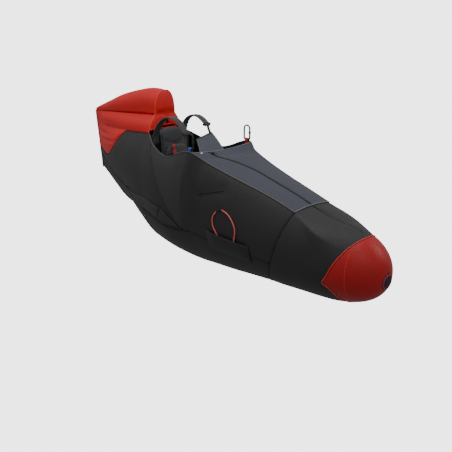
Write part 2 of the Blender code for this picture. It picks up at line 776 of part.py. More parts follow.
def build_belly(looks, gap, start, end):
    """The trough under tail, seat and legs, from chine to chine."""
    columns = [lerp(side_a(CHINE_T) + gap, 1.0, s) for s in BELLY_ROWS]
    columns = [-a for a in columns[:-1]] + list(reversed(columns))
    rows = [[(x, a) for a in columns] for x in TAIL_STATIONS]
    for share in REAR_SHARES[1:-1]:
        rows.append([(lerp(FAIRING_X, rear_seam_x(min(abs(a), side_a(CHINE_T))), share), a) for a in columns])
    for station in SIDE_STATIONS:
        share = (station - start) / (end - start)
        row = []
        for a in columns:
            seam = rear_seam_x(min(abs(a), side_a(CHINE_T)))
            row.append((lerp(seam, front_seam_x(a) - SEAM / 2, share), a))
        rows.append(row)
    hull_sheet("belly", rows, looks["black_fabric"])


def build_leg_cover(looks, gap):
    """Two halves that meet along the zip."""
    for side, word in ((-1, "right"), (1, "left")):
        rows = []
        for x in COVER_STATIONS:
            here = x - SEAM / 2 if x == FRONT_SEAM_X else x
            split = zip_y(x) / ridge_half(x) + side * SEAM / 2 / ridge_half(x)
            outer_edge = side * (1 - gap / RIDGE_A)
            rows.append([(here, RIDGE_A * lerp(outer_edge, split, s)) for s in COVER_COLUMNS])
        hull_sheet(f"leg_cover_{word}", rows, looks["grey_lycra"])


def nose_columns():
    """The shares of the whole section that the nose uses, starting at the belly and going round."""
    right = [-side_a(CHINE_T + (1 - CHINE_T) * s) for s in reversed(BELLY_ROWS)]
    right += [-side_a(CHINE_T * s) for s in reversed(SIDE_ROWS[:-1])]
    right += [-RIDGE_A * (1 - s) for s in COVER_COLUMNS[1:-1]]
    return right + [0.0] + [-a for a in reversed(right[1:])]


def cap_edge_x(a):
    """x of the red nose cap's edge: furthest back in a point on each flank."""
    top_x, tip_x, foot_x = NOSE_X - 0.115, NOSE_X - 0.256, NOSE_X - 0.150
    tip_a = side_a(0.444)
    share = abs(a) / tip_a
    if share <= 1.0:
        return lerp(top_x, tip_x, share**1.7)
    return lerp(tip_x, foot_x, ((abs(a) - tip_a) / (1 - tip_a)) ** 0.45)


def build_nose(looks, gap):
    columns = nose_columns()
    rows = []
    for share in shares(6):
        rows.append([(lerp(front_seam_x(a) + SEAM / 2, cap_edge_x(a) - SEAM / 2, share), a) for a in columns])
    hull_sheet("nose_section", rows, looks["black_fabric"], wrap=True)

    rows = []
    for share in (0.0, 0.25, 0.5, 0.72, 0.88, 0.97):
        row = []
        for a in columns:
            edge = cap_edge_x(a) + SEAM / 2
            start = math.asin((edge - NOSE_BASE_X) / (NOSE_X - NOSE_BASE_X)) if edge > NOSE_BASE_X else 0.0
            x = edge if share == 0.0 else NOSE_BASE_X + (NOSE_X - NOSE_BASE_X) * math.sin(
                lerp(start, math.pi / 2, share)
            )
            row.append((x, a))
        rows.append(row)
    cap = closed_cap("nose_cap", rows, looks["red_nylon"])
    build_intake(looks, cap)


def closed_cap(name, places, material):
    """A skin panel that wraps round and closes over at its last row."""
    count = len(places[0])
    outer = [hull(x, a) for row in places for x, a in row]
    inner = [hull(x, a, WALL) for row in places for x, a in row]
    tip_out = Vector((NOSE_X, 0.0, NOSE_Z))
    tip_in = tip_out - Vector((WALL, 0, 0))
    half = len(outer)
    faces = grid_faces(len(places), count, 0, True)
    faces += [(c + half, b + half, a + half) for a, b, c in grid_faces(len(places), count, 0, True)]
    last = (len(places) - 1) * count
    for j in range(count):
        k = (j + 1) % count
        faces.append((last + j, last + k, 2 * half))
        faces.append((half + last + k, half + last + j, 2 * half + 1))
        faces += [(k, j, half + j), (k, half + j, half + k)]
    return add_solid(name, outer + inner + [tip_out, tip_in], faces, material)


def intake_frame():
    """Centre of the nose intake on the skin, and the way it faces."""
    low, high = NOSE_BASE_X, NOSE_X
    for _ in range(40):
        middle = (low + high) / 2
        if nose_profile(middle)[1] < INTAKE_Z:
            low = middle
        else:
            high = middle
    step = 1e-3
    slope = (nose_profile(low)[1] - nose_profile(low - step)[1]) / step
    return Vector((low, 0.0, INTAKE_Z)), Vector((slope, 0.0, -1.0)).normalized()


def build_intake(looks, cap):
    """The hole that lets air into the pod, its ring and its net."""
    centre, axis = intake_frame()
    reach = 0.03
    hole = add_rod("intake_hole", centre - axis * reach, centre + axis * reach, INTAKE_R, looks["net"], 28)
    cut(cap, hole)
    outer = INTAKE_R - RUN_GAP
    bore = outer - INTAKE_WALL
    back = -INTAKE_LENGTH * 0.75
    profile = [(bore, back), (outer, back), (outer, back + INTAKE_LENGTH), (bore, back + INTAKE_LENGTH)]
    turned("intake_ring", profile, centre, axis, looks["plastic"], 28, origin=(0, 0, 0))
    build_intake_net(looks, centre, axis, bore - RUN_GAP)


def build_intake_net(looks, centre, axis, radius):
    """A flat round net of crossing bars inside a hoop."""
    hoop_wall = 1.4 * NET_BAR
    profile = [(radius - hoop_wall, 0.0), (radius, 0.0), (radius, NET_BAR), (radius - hoop_wall, NET_BAR)]
    net = turned("intake_net", profile, centre, axis, looks["net"], 28, origin=(0, 0, 0))
    across = Vector((0, 1, 0))
    other = axis.cross(across)
    pitch = 2 * radius / NET_CELLS
    for i in range(1, NET_CELLS):
        offset = -radius + i * pitch
        length = 2 * math.sqrt(radius**2 - offset**2) - hoop_wall
        for direction, step, word in ((across, other, "across"), (other, across, "down")):
            middle = centre + step * offset + axis * (NET_BAR * (0.55 if word == "across" else 0.45))
            bar = add_box(
                f"net_bar_{word}_{i}",
                middle,
                (length, NET_BAR * 0.7, NET_BAR * 0.6),
                looks["net"],
                (direction, step, axis),
            )
            cut(net, bar, "UNION")


def bilge_block(name, stations, top_z, material, half_limit=1.0):
    """A block that fills the bottom of the body below top_z(x), just clear of the skin."""
    depth = WALL + BLOCK_PLAY
    tops = []
    for x in stations:
        low, high = 0.0, 1.0
        for _ in range(40):
            middle = (low + high) / 2
            if hull(x, side_a(middle), depth).z > top_z(x):
                low = middle
            else:
                high = middle
        tops.append(low)
    rows = [CHINE_T * s for s in SIDE_ROWS[:-1]] + [lerp(CHINE_T, 1.0, s) for s in BELLY_ROWS]
    rows = [t for t in rows if t > max(tops) + 0.01]
    sections = []
    for x, top in zip(stations, tops):
        right = [hull(x, -side_a(t), depth) for t in [top, *rows]]
        for place in right:
            place.x = x
            place.y = max(place.y, -half_limit)
        left = [Vector((p.x, -p.y, p.z)) for p in reversed(right[:-1])]
        sections.append(right + left)
    count = len(sections[0])
    points = [p for section in sections for p in section]
    faces = grid_faces(len(sections), count, 0, True)
    last = (len(sections) - 1) * count
    faces += [tuple(range(count)), tuple(last + count - 1 - i for i in range(count))]
    return add_solid(name, points, faces, material)


def seat_axes():
    tilt = math.radians(SEAT_TILT)
    along = Vector((math.cos(tilt), 0, math.sin(tilt)))
    return along, Vector((0, 1, 0)), along.cross(Vector((0, 1, 0)))


def seat_underside(x):
    """Height of the seat plate's lower face at x."""
    return SEAT_Z + (x - SEAT_X) * math.tan(math.radians(SEAT_TILT)) - SEAT_THICK / 2 - SEAM


def back_foot():
    """Where the line of the backrest's rear face meets the seat plate."""
    rise = (BACK_FOOT_X - SEAT_X) * math.tan(math.radians(SEAT_TILT))
    return Vector((BACK_FOOT_X, 0, SEAT_Z + rise + SEAT_THICK / 2 + 2 * SEAM))


def back_axes():
    """Up the backrest, across it, and out of its front."""
    foot, top = back_foot(), Vector((BACK_TOP[0], 0, BACK_TOP[1]))
    up = (top - foot).normalized()
    across = Vector((0, 1, 0))
    return up, across, across.cross(up)


def back_point(up_by, y, out_by):
    up, across, out = back_axes()
    return back_foot() + up * up_by + across * y + out * out_by


def add_pad(name, start, height, half_low, half_top, base, thick, material):
    """A crowned cushion on the backrest: full in the middle, drawn in at its sides."""
    count = 9
    front, rear = [], []
    for s in shares(count):
        half = lerp(half_low, half_top, s)
        rows = ([], [])
        for q in shares(count):
            p = 2 * q - 1
            v = 2 * s - 1
            fullness = ((1 - p**4) * (1 - v**4)) ** 0.35
            drawn = 1 - 0.03 * (1 - v * v)
            y = half * p * drawn
            up_by = start + height * s + 0.02 * height * (1 - p * p) * max(0.0, v)
            rows[0].append(back_point(up_by, y, base + thick * (0.3 + 0.7 * fullness)))
            rows[1].append(back_point(up_by, y, base))
        front.append(rows[0])
        rear.append(rows[1])
    return add_sheet(name, front, rear, material)


def build_seat(looks):
    """Seat plate on its protector, backrest on its bulkhead, and the footplate."""
    stations = [lerp(PROTECTOR_X[0], PROTECTOR_X[1], s) for s in shares(11)]
    bilge_block("protector_foam", stations, seat_underside, looks["foam"], SEAT_WIDTH / 2)
    axes = seat_axes()
    add_box("seat_plate", (SEAT_X, 0, SEAT_Z), (SEAT_LENGTH, SEAT_WIDTH, SEAT_THICK), looks["carbon"], axes)
    back_height = (Vector((BACK_TOP[0], 0, BACK_TOP[1])) - back_foot()).length - BACK_START
    add_pad("backrest", BACK_START, back_height, BACK_HALF_LOW, BACK_HALF_TOP, 0.0, BACK_THICK, looks["padding"])
    add_pad(
        "lumbar_pad",
        LUMBAR_START,
        LUMBAR_HEIGHT,
        LUMBAR_HALF,
        LUMBAR_HALF * 0.9,
        BACK_THICK + SEAM,
        LUMBAR_THICK,
        looks["padding"],
    )

    outline = []
    for s in [0.03, *SIDE_ROWS[1:-1]]:
        place = hull(BULKHEAD_X, side_a(CHINE_T * s), WALL + 2 * BLOCK_PLAY)
        outline.append((place.y, place.z))
    front = [[Vector((BULKHEAD_X + BULKHEAD_THICK, side * y, z)) for side in (-1, 1)] for y, z in outline]
    rear = [[p - Vector((BULKHEAD_THICK, 0, 0)) for p in row] for row in front]
    add_sheet("rear_bulkhead", front, rear, looks["black_fabric"])

    bilge_block(
        "footplate",
        [FOOTPLATE_X, FOOTPLATE_X + FOOTPLATE_THICK],
        lambda x: FOOTPLATE_TOP_Z,
        looks["carbon"],
    )


def build_straps(looks):
    """Shoulder straps, their adjusters, and the webbing from there to hip and belly flap."""
    arches = {
        "right": ((-0.402, -0.030), (-0.400, 0.015), (-0.374, 0.068), (-0.329, 0.112))
        + ((-0.277, 0.132), (-0.227, 0.124), (-0.185, 0.098), (-0.140, 0.045)),
        "left": ((-0.406, -0.025), (-0.408, 0.030), (-0.384, 0.085), (-0.336, 0.117))
        + ((-0.285, 0.117), (-0.241, 0.097), (-0.208, 0.068)),
    }
    root = BULKHEAD_X + BULKHEAD_THICK + 2 * SEAM
    for side, word in ((-1, "right"), (1, "left")):
        arch = ((root, STRAP_ROOT_Z), (root + 0.02, STRAP_ROOT_Z + 0.001), *arches[word])
        path = smooth_path([(x, side * STRAP_Y, z) for x, z in arch], 28)
        add_ribbon(f"shoulder_strap_{word}", path, (0, 1, 0), STRAP_WIDTH, STRAP_THICK, looks["padding"])
        ahead = (path[-1] - path[-2]).normalized()
        axes = (ahead, Vector((0, 1, 0)), ahead.cross(Vector((0, 1, 0))))
        seat = path[-1] - ahead * ADJUSTER_LENGTH
        size = (ADJUSTER_LENGTH, STRAP_WIDTH + 2 * ADJUSTER_RIM, STRAP_THICK + 2 * ADJUSTER_RIM)
        ring = add_box(f"strap_adjuster_{word}", seat, size, looks["plastic"], axes)
        bore = (2 * ADJUSTER_LENGTH, STRAP_WIDTH + 2 * SEAM, STRAP_THICK + 2 * SEAM)
        cut(ring, add_box(f"adjuster_bore_{word}", seat, bore, looks["plastic"], axes))
        start = path[-1] + ahead * (3 * SEAM)
        if side < 0:
            rest = [(-0.105, side * 0.150, 0.000), (-0.060, side * 0.180, -0.050)]
            rest.append((-WEBBING_WIDTH / 2 - 4 * SEAM, side * riser_y(CHEST_FOOT_Z), CHEST_FOOT_Z))
        else:
            share = (STRAP_Y - FLAP_TOP_Y[0]) / (FLAP_TOP_Y[1] - FLAP_TOP_Y[0])
            seam_z = lerp(FLAP_TOP_Z, FLAP_TIP_Z, share) - WALL / 2
            rest = [(-0.201, side * STRAP_Y, 0.050), (FLAP_TOP_X - 5 * SEAM, side * STRAP_Y, seam_z)]
        run = smooth_path([start, *rest], 9)
        add_ribbon(f"chest_webbing_{word}", run, (0, 1, 0), CHEST_WEBBING, WEBBING_THICK, looks["webbing_black"])


def build_hang_points(looks):
    for side, word in ((-1, "right"), (1, "left")):
        colour = looks["webbing_blue" if side < 0 else "webbing_red"]
        build_hang_loop(looks, side, word, colour)
        build_karabiner(looks, side, word)


def build_hang_loop(looks, side, word, colour):
    """The coloured eye that the karabiner passes through, sewn to the black main riser."""
    y = side * HANG_SPAN / 2
    bore = ROD_R + RUN_GAP
    outer = bore + LOOP_WALL
    tail = LOOP_TAIL
    eye = [(outer * math.cos(i * math.pi / 10), outer * math.sin(i * math.pi / 10)) for i in range(11)]
    eye += [(-outer, -tail), (outer, -tail)]
    rings = []
    for x in (-LOOP_WIDTH / 2, LOOP_WIDTH / 2):
        rings.append([Vector((x, y + dy, dz)) for dy, dz in eye])
    count = len(eye)
    points = rings[0] + rings[1]
    faces = [(i, (i + 1) % count, count + (i + 1) % count, count + i) for i in range(count)]
    faces += [tuple(range(count)), tuple(range(2 * count - 1, count - 1, -1))]
    loop = add_solid(f"hang_loop_{word}", points, faces, colour)
    reach = LOOP_WIDTH
    cut(loop, add_rod(f"loop_bore_{word}", (-reach, y, 0), (reach, y, 0), bore, colour, 20))

    seat_edge = side * (SEAT_WIDTH / 2 + WEBBING_THICK / 2 + SEAM)
    foot = Vector((0.0, seat_edge, SEAT_Z + RISER_FOOT_LIFT))
    top = Vector((0.0, y, -tail - SEAM))
    path = [lerp(top, foot, s) for s in (0.0, 1.0)]
    add_ribbon(f"main_riser_{word}", path, (1, 0, 0), WEBBING_WIDTH, WEBBING_THICK, looks["webbing_black"])


def build_karabiner(looks, side, word):
    """Body, gate, hinge pin and locking sleeve, in the plane y = constant with the gate to the front."""
    y = side * HANG_SPAN / 2
    reach = KARABINER_WIDTH / 2 - ROD_R
    corner = 0.009
    bow_z = KARABINER_HEIGHT - ROD_R - reach - ROD_R
    pin_z = 0.0215
    ear_top = pin_z + 0.0036
    latch = bow_z - 0.006
    gate_top = latch - 0.0008
    pivot = Vector((0, y, 0))

    def at(x, z):
        return Vector((x, y, z))

    path = [at(reach, latch), at(reach, bow_z)]
    path += [
        at(reach * math.cos(i * math.pi / 12), bow_z + reach * math.sin(i * math.pi / 12)) for i in range(1, 12)
    ]
    path += [at(-reach, bow_z), at(-reach, corner)]
    path += [
        at(-reach + corner - corner * math.cos(i * math.pi / 10), corner - corner * math.sin(i * math.pi / 10))
        for i in range(1, 6)
    ]
    path += [
        at(reach - corner + corner * math.sin(i * math.pi / 10), corner - corner * math.cos(i * math.pi / 10))
        for i in range(0, 5)
    ]
    path += [at(reach, corner), at(reach, ear_top)]
    metal = looks["black_anodised"]
    body = add_tube(f"karabiner_{word}", path, ROD_R, metal, 2, pivot)

    tongue = 0.005
    slot_foot = pin_z - GATE_R - 2 * RUN_GAP
    slot = add_box(
        f"gate_slot_{word}",
        at(reach, (slot_foot + 0.04) / 2),
        (4 * ROD_R, tongue + 2 * RUN_GAP, 0.04 - slot_foot),
        metal,
    )
    cut(body, slot)
    hinge = at(reach, pin_z)
    half_pin = Vector((0, ROD_R * 0.9, 0))
    cut(body, add_rod(f"gate_rivet_{word}", hinge - half_pin, hinge + half_pin, GATE_PIN_R, metal, 12), "UNION")
    pin_hole_r = GATE_PIN_R + RUN_GAP
    ends = [hinge + Vector((0, d, 0)) for d in (-2 * ROD_R, 2 * ROD_R)]

    shoulder = pin_z + 0.0055
    gate = add_rod(f"gate_{word}", at(reach, shoulder), at(reach, gate_top), GATE_R, metal, 16, hinge)
    knuckle = [(GATE_R * math.cos(i * math.pi / 8), GATE_R * math.sin(i * math.pi / 8)) for i in range(8, 17)]
    knuckle += [(GATE_R * 0.98, 0.0075), (-GATE_R * 0.98, 0.0075)]
    rings = []
    for d in (-tongue / 2, tongue / 2):
        rings.append([hinge + Vector((x, d, z)) for x, z in knuckle])
    count = len(knuckle)
    faces = [(i, (i + 1) % count, count + (i + 1) % count, count + i) for i in range(count)]
    faces += [tuple(range(count)), tuple(range(2 * count - 1, count - 1, -1))]
    cut(gate, add_solid(f"gate_tongue_{word}", rings[0] + rings[1], faces, metal), "UNION")
    cut(gate, add_rod(f"gate_pin_hole_{word}", *ends, pin_hole_r, metal, 12))

    low = gate_top - SLEEVE_DROP - SLEEVE_LENGTH
    bore = GATE_R + RUN_GAP
    profile = [(bore, 0.0), (SLEEVE_R - 0.001, 0.0), (SLEEVE_R, 0.001), (SLEEVE_R, SLEEVE_LENGTH - 0.001)]
    profile += [(SLEEVE_R - 0.001, SLEEVE_LENGTH), (bore, SLEEVE_LENGTH)]
    turned(f"lock_sleeve_{word}", profile, at(reach, low), (0, 0, 1), metal, 20)


def zip_place(x, offset):
    """The (x, a) pair of a point beside the leg zip."""
    return x, RIDGE_A * (zip_y(x) + offset) / ridge_half(x)


def build_zip(looks):
    """The leg zip from beside the right hang loop to the nose cap, its slider and its pull."""
    stations = list(COVER_STATIONS)
    stations += [lerp(FRONT_SEAM_X, cap_edge_x(0.0), s) for s in shares(6)[1:-1]]
    stations.append(ZIP_NOSE_X)
    places = []
    for x in stations:
        slope = (zip_y(x + 1e-3) - zip_y(x - 1e-3)) / 2e-3
        half = ZIP_HALF * math.hypot(1.0, slope)
        places.append([zip_place(x, -half), zip_place(x, 0.0), zip_place(x, half)])
    top = SKIN_PLAY + ZIP_THICK
    hull_sheet("zip_chain", places, looks["zip"], (-top, -SKIN_PLAY))

    start = hull(*zip_place(lerp(COVER_X, ZIP_BEND_X, 0.10), 0.0), -top)
    end = hull(*zip_place(lerp(COVER_X, ZIP_BEND_X, 0.75), 0.0), -top)
    along = (end - start).normalized()
    across = Vector((0, 0, 1)).cross(along).normalized()
    normal = along.cross(across)
    seat = start + normal * (SLIDER_LIFT + SLIDER[2] / 2)
    add_box("zip_slider", seat, SLIDER, looks["steel"], (along, across, normal), 0.0012, seat)
    pivot = seat + normal * (SLIDER[2] / 2 + 2 * RUN_GAP + TAB[2] / 2)
    middle = pivot + along * ((TAB[0] - TAB[2]) / 2)
    add_box("zip_pull", middle, TAB, looks["steel"], (along, across, normal), 0.0006, pivot)


def pocket_place(share, offset=0.0):
    x = lerp(POCKET_ZIP_X[0], POCKET_ZIP_X[1], share)
    t = lerp(POCKET_ZIP_T[0], POCKET_ZIP_T[1], share)
    return x, -side_a(t + offset)


def pocket_axes():
    """Along the pocket's zip, across it, and out of the side panel at its middle."""
    start, end = (hull(*pocket_place(share)) for share in (0.0, 1.0))
    along = (end - start).normalized()
    across = (hull(*pocket_place(0.5), -SLIDER[2]) - hull(*pocket_place(0.5))).cross(along).normalized()
    return along, across, along.cross(across)


def build_side_pocket(looks):
    """The zip of the pocket in the right side panel. Its top is flat, so that the slider can run along it."""
    step = POCKET_ZIP_HALF / 0.75
    axes = pocket_axes()
    inner = []
    for share in shares(10):
        inner.append([hull(*pocket_place(share, side * step), -SKIN_PLAY) for side in (-1, 0, 1)])
    top = max(place.dot(axes[2]) for row in inner for place in row) + ZIP_THICK
    outer = [[place + axes[2] * (top - place.dot(axes[2])) for place in row] for row in inner]
    add_sheet("side_pocket_zip", outer, inner, looks["zip"])
    start = hull(*pocket_place(0.05))
    seat = start + axes[2] * (top - start.dot(axes[2]) + POCKET_SLIDER_LIFT + SLIDER[2] / 2)
    size = (SLIDER[0], SLIDER[1] * 0.8, SLIDER[2])
    add_box("side_pocket_slider", seat, size, looks["steel"], axes, 0.001, seat)


def handle_points():
    """The reserve handle's loop as (x, z) pairs, from its rear end over the top to its front end."""
    x, z = HANDLE_APEX
    w, h = HANDLE_WIDTH, HANDLE_HEIGHT
    loop = [(x - 0.10 * w, z - h - HANDLE_TUCK), (x - 0.13 * w, z - h), (x - 0.30 * w, z - 0.62 * h)]
    loop += [(x - 0.27 * w, z - 0.26 * h), (x, z), (x + 0.34 * w, z - 0.10 * h), (x + 0.59 * w, z - 0.37 * h)]
    loop += [(x + 0.70 * w, z - 0.68 * h), (x + 0.64 * w, z - h), (x + 0.61 * w, z - h - HANDLE_TUCK)]
    return loop


def build_reserve(looks):
    """The reserve's bag under the legs, its outer flap on the right, and the handle that opens it."""
    stations = [lerp(BAG_X[0], BAG_X[1], s) for s in shares(4)]
    bilge_block("reserve_bag", stations, lambda x: BAG_TOP_Z, looks["padding"])

    lift = HANDLE_R + SKIN_PLAY + HANDLE_LIFT
    path = []
    for x, z in handle_points():
        path.append(hull(x, -section_share_at(x, z), -lift))
    pivot = hull(HANDLE_APEX[0], -section_share_at(*HANDLE_APEX), -lift)
    add_tube("reserve_handle", smooth_path(path, 40), HANDLE_R, looks["webbing_red"], 2, pivot)

    outer, inner = [], []
    for u in shares(13):
        x = lerp(FLAP_X[0], FLAP_X[1], u)
        rows = ([], [])
        for v in shares(7):
            a = -side_a(lerp(FLAP_T[0], FLAP_T[1], v))
            room = SKIN_PLAY + FLAP_POCKET * (1 - v**2) * min(1.0, 6 * u, 6 * (1 - u))
            rows[0].append(hull(x, a, -room - FLAP_THICK))
            rows[1].append(hull(x, a, -room))
        outer.append(rows[0])
        inner.append(rows[1])
    add_sheet("reserve_flap", outer, inner, looks["black_fabric"])


def build_belly_flap(looks):
    """The grey flap over the pilot's lap, from the leg cover's rear edge up to the left shoulder strap."""
    top = [Vector((FLAP_TOP_X, FLAP_TOP_Y[0], FLAP_TOP_Z)), Vector((FLAP_TOP_X, FLAP_TOP_Y[1], FLAP_TIP_Z))]
    outer, inner = [], []
    for u in shares(9):
        rows = ([], [])
        for v in shares(9):
            head = lerp(top[0], top[1], v)
            y = lerp(FLAP_FOOT_Y[0], FLAP_FOOT_Y[1], v)
            foot = hull(COVER_X, RIDGE_A * y / ridge_half(COVER_X)) - Vector((SEAM, 0, 0))
            place = lerp(foot, head, u)
            place.z += 0.012 * math.sin(math.pi * u) * (1 - 0.5 * (2 * v - 1) ** 2)
            rows[0].append(place)
            rows[1].append(place - Vector((0, 0, WALL)))
        outer.append(rows[0])
        inner.append(rows[1])
    add_sheet("belly_flap", outer, inner, looks["grey_lycra"])


def build_buckle(looks):
    """The leg buckle on the lumbar pad: housing, two press buttons, tongue with its red tape, and strap."""
    up, across, out = back_axes()
    axes = (across, up, out)
    base = BACK_THICK + LUMBAR_THICK + 3 * SEAM
    middle_out = base + BUCKLE[2] / 2
    centre = back_point(BUCKLE_UP, BUCKLE_Y, middle_out)
    housing = add_box("buckle_housing", centre, BUCKLE, looks["plastic"], axes)
    grip = 0.030
    slot = (TONGUE[0] + 2 * RUN_GAP, 2 * grip, TONGUE[2] + 2 * RUN_GAP)
    mouth = centre + up * (BUCKLE[1] / 2)
    cut(housing, add_box("tongue_slot", mouth, slot, looks["plastic"], axes))
    tongue_middle = mouth + up * (TONGUE[1] / 2 - grip + RUN_GAP)
    add_box("buckle_tongue", tongue_middle, TONGUE, looks["steel"], axes, 0.0, mouth)
    depth = BUTTON[0] - BUTTON_STAND
    for side, word in ((-1, "right"), (1, "left")):
        face = centre + across * (side * BUCKLE[0] / 2) - up * 0.004
        pocket = (2 * (depth + BUTTON_TRAVEL + RUN_GAP), BUTTON[1] + 2 * RUN_GAP, BUTTON[2] + 2 * RUN_GAP)
        cut(housing, add_box(f"button_pocket_{word}", face, pocket, looks["plastic"], axes))
        middle = face + across * (side * (BUTTON_STAND - BUTTON[0] / 2))
        add_box(f"buckle_button_{word}", middle, BUTTON, looks["red_plastic"], axes, 0.0, middle)
    tip = tongue_middle + up * (TONGUE[1] / 2 + SEAM)
    tape = [tip, tip + up * 0.016 + out * 0.003, tip + up * 0.034 + out * 0.001]
    add_ribbon("buckle_tape", smooth_path(tape, 7), across, CHEST_WEBBING, WEBBING_THICK, looks["webbing_red"])
    lowest = BUCKLE_UP - BUCKLE[1] / 2 - SEAM
    run = [(lowest, middle_out), (lowest - 0.05, base + WEBBING_THICK), (LUMBAR_START - 0.006, base)]
    run.append((LUMBAR_START - 0.040, BACK_THICK + 3 * WEBBING_THICK))
    run.append((BACK_START + 0.040, BACK_THICK + WEBBING_THICK))
    path = smooth_path([back_point(height, BUCKLE_Y, by) for height, by in run], 18)
    add_ribbon("leg_strap", path, across, WEBBING_WIDTH, WEBBING_THICK, looks["webbing_black"])


def riser_y(z):
    """Half spacing of the main risers at height z."""
    top, foot = -LOOP_TAIL - SEAM, SEAT_Z + RISER_FOOT_LIFT
    return lerp(HANG_SPAN / 2, SEAT_WIDTH / 2 + WEBBING_THICK / 2 + SEAM, (top - z) / (top - foot))


def build_speed_system(looks):
    """Foot bar, its two lines, and a pulley for each line on the main riser."""
    start, end = Vector((BAR_X, -BAR_LENGTH / 2, BAR_Z)), Vector((BAR_X, BAR_LENGTH / 2, BAR_Z))
    middle = (start + end) / 2
    add_rod("speed_bar", start, end, BAR_R, looks["carbon"], 18, middle)
    block_width = PULLEY_WIDTH + 2 * CHEEK_THICK + 2 * RUN_GAP
    for side, word in ((-1, "right"), (1, "left")):
        y = side * (riser_y(PULLEY_Z - PULLEY_R) - WEBBING_THICK / 2 - 2 * SEAM - block_width / 2)
        centre = Vector((PULLEY_X, y, PULLEY_Z))
        groove = PULLEY_R - LINE_R
        half = PULLEY_WIDTH / 2
        profile = [(PULLEY_AXLE_R + RUN_GAP, -half), (PULLEY_R, -half), (groove, 0.0)]
        profile += [(PULLEY_R, half), (PULLEY_AXLE_R + RUN_GAP, half)]
        turned(f"pulley_{word}", profile, centre, (0, 1, 0), looks["plastic"], 24)
        crown = PULLEY_R + 2 * LINE_R + 3 * RUN_GAP
        size = (2 * PULLEY_R, block_width, crown + CHEEK_THICK + PULLEY_R)
        block = add_box(
            f"pulley_block_{word}",
            centre + Vector((0, 0, (crown + CHEEK_THICK - PULLEY_R) / 2)),
            size,
            looks["black_anodised"],
        )
        room = (4 * PULLEY_R, PULLEY_WIDTH + 2 * RUN_GAP, 2 * crown)
        cut(block, add_box(f"block_room_{word}", centre, room, looks["plastic"]))
        pin = Vector((0, block_width / 2 - CHEEK_THICK / 2, 0))
        cut(block, add_rod(f"block_axle_{word}", centre - pin, centre + pin, PULLEY_AXLE_R, looks["steel"]), "UNION")
        build_speed_line(looks, side, word, centre)


def build_speed_line(looks, side, word, centre):
    """From the bar back under the pulley and up inside the riser."""
    reach = PULLEY_R + LINE_R + RUN_GAP
    tie = Vector((BAR_X - BAR_R - 2.5 * RUN_GAP, side * (BAR_LENGTH / 2 - 0.012), BAR_Z))
    way = tie - centre
    lean = math.atan2(way.z, way.x)
    path = [tie]
    for i in range(9):
        angle = lerp(lean - math.pi / 2, -math.pi, i / 8)
        path.append(centre + Vector((math.cos(angle) * reach, 0, math.sin(angle) * reach)))
    clear = WEBBING_THICK / 2 + LINE_R + SEAM + 0.0005
    for z in (-0.28, -0.20, -0.13):
        path.append(Vector((PULLEY_X - reach, side * (riser_y(z) - clear), z)))
    add_tube(f"speed_line_{word}", path, LINE_R, looks["webbing_black"], 1)


def main():
    for old in list(bpy.data.objects):
        bpy.data.objects.remove(old)
    looks = palette()
    build_tail(looks)
    build_pod(looks)
    build_seat(looks)
    build_straps(looks)
    build_hang_points(looks)
    build_zip(looks)
    build_side_pocket(looks)
    build_reserve(looks)
    build_belly_flap(looks)
    build_buckle(looks)
    build_speed_system(looks)


main()
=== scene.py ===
"""Dressed scene of the paragliding pod harness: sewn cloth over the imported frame, soft light, pale floor."""

import math

import bmesh
import bpy
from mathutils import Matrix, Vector, noise


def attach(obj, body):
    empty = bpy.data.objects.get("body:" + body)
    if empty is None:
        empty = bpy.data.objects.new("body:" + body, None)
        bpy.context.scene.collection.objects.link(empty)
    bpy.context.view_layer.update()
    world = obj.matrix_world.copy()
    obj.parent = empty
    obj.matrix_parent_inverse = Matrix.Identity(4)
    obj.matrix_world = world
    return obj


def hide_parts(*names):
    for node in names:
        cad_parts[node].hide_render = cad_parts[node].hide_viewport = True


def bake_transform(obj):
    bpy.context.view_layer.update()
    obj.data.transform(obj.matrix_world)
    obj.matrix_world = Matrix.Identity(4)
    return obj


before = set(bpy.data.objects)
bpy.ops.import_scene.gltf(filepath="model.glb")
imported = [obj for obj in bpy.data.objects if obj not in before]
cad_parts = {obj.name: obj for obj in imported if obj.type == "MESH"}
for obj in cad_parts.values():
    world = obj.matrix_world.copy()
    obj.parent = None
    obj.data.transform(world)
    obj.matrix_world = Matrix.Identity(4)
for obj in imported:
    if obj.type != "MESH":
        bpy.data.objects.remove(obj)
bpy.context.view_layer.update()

# Camera, read from the photograph
CAMERA_PLACE = (2.650, -2.768, 0.650)
CAMERA_PITCH = 16.323
CAMERA_TURN = 43.244
CAMERA_LENS = 55.75
FLOOR_Z = -1.55
FLOOR_GLOW = 4.0
SKY_LIGHT = 0.60

# The body's lines are those of the solids. Stations along the body
TAIL_X = -1.11  # top of the tail's trailing edge
TAIL_RAKE = 0.050  # how much further forward the foot of that edge lies
RED_KINK_X = -0.69  # where the tail's colour split leaves the shoulder line
RED_TIP_X = -0.965  # lowest point of the red on the tail's flank
FAIRING_X = -0.445  # front of the tail fairing, behind the pilot's neck
REAR_SEAM_X = -0.385  # seam between the tail's flank and the pod's side, at the rim
REAR_SEAM_SLANT = 0.32  # how much further forward that seam is at the chine
RIM_LOW_X = -0.20  # lowest point of the cockpit rim
COVER_X = 0.022  # rear edge of the leg cover
RIDGE_DIP_X = 0.085  # where the ridge, drawn up to the hang loop, levels out
FRONT_SEAM_X = 0.641  # seam of the nose section, at the ridge
FRONT_SEAM_SLANT = 0.22  # how much further back that seam is under the belly
NOSE_BASE_X = 0.80  # where the round nose begins
NOSE_X = 1.09  # tip of the nose
NOSE_ROUND_X = 0.98  # where the last of the ridges has melted into the round nose

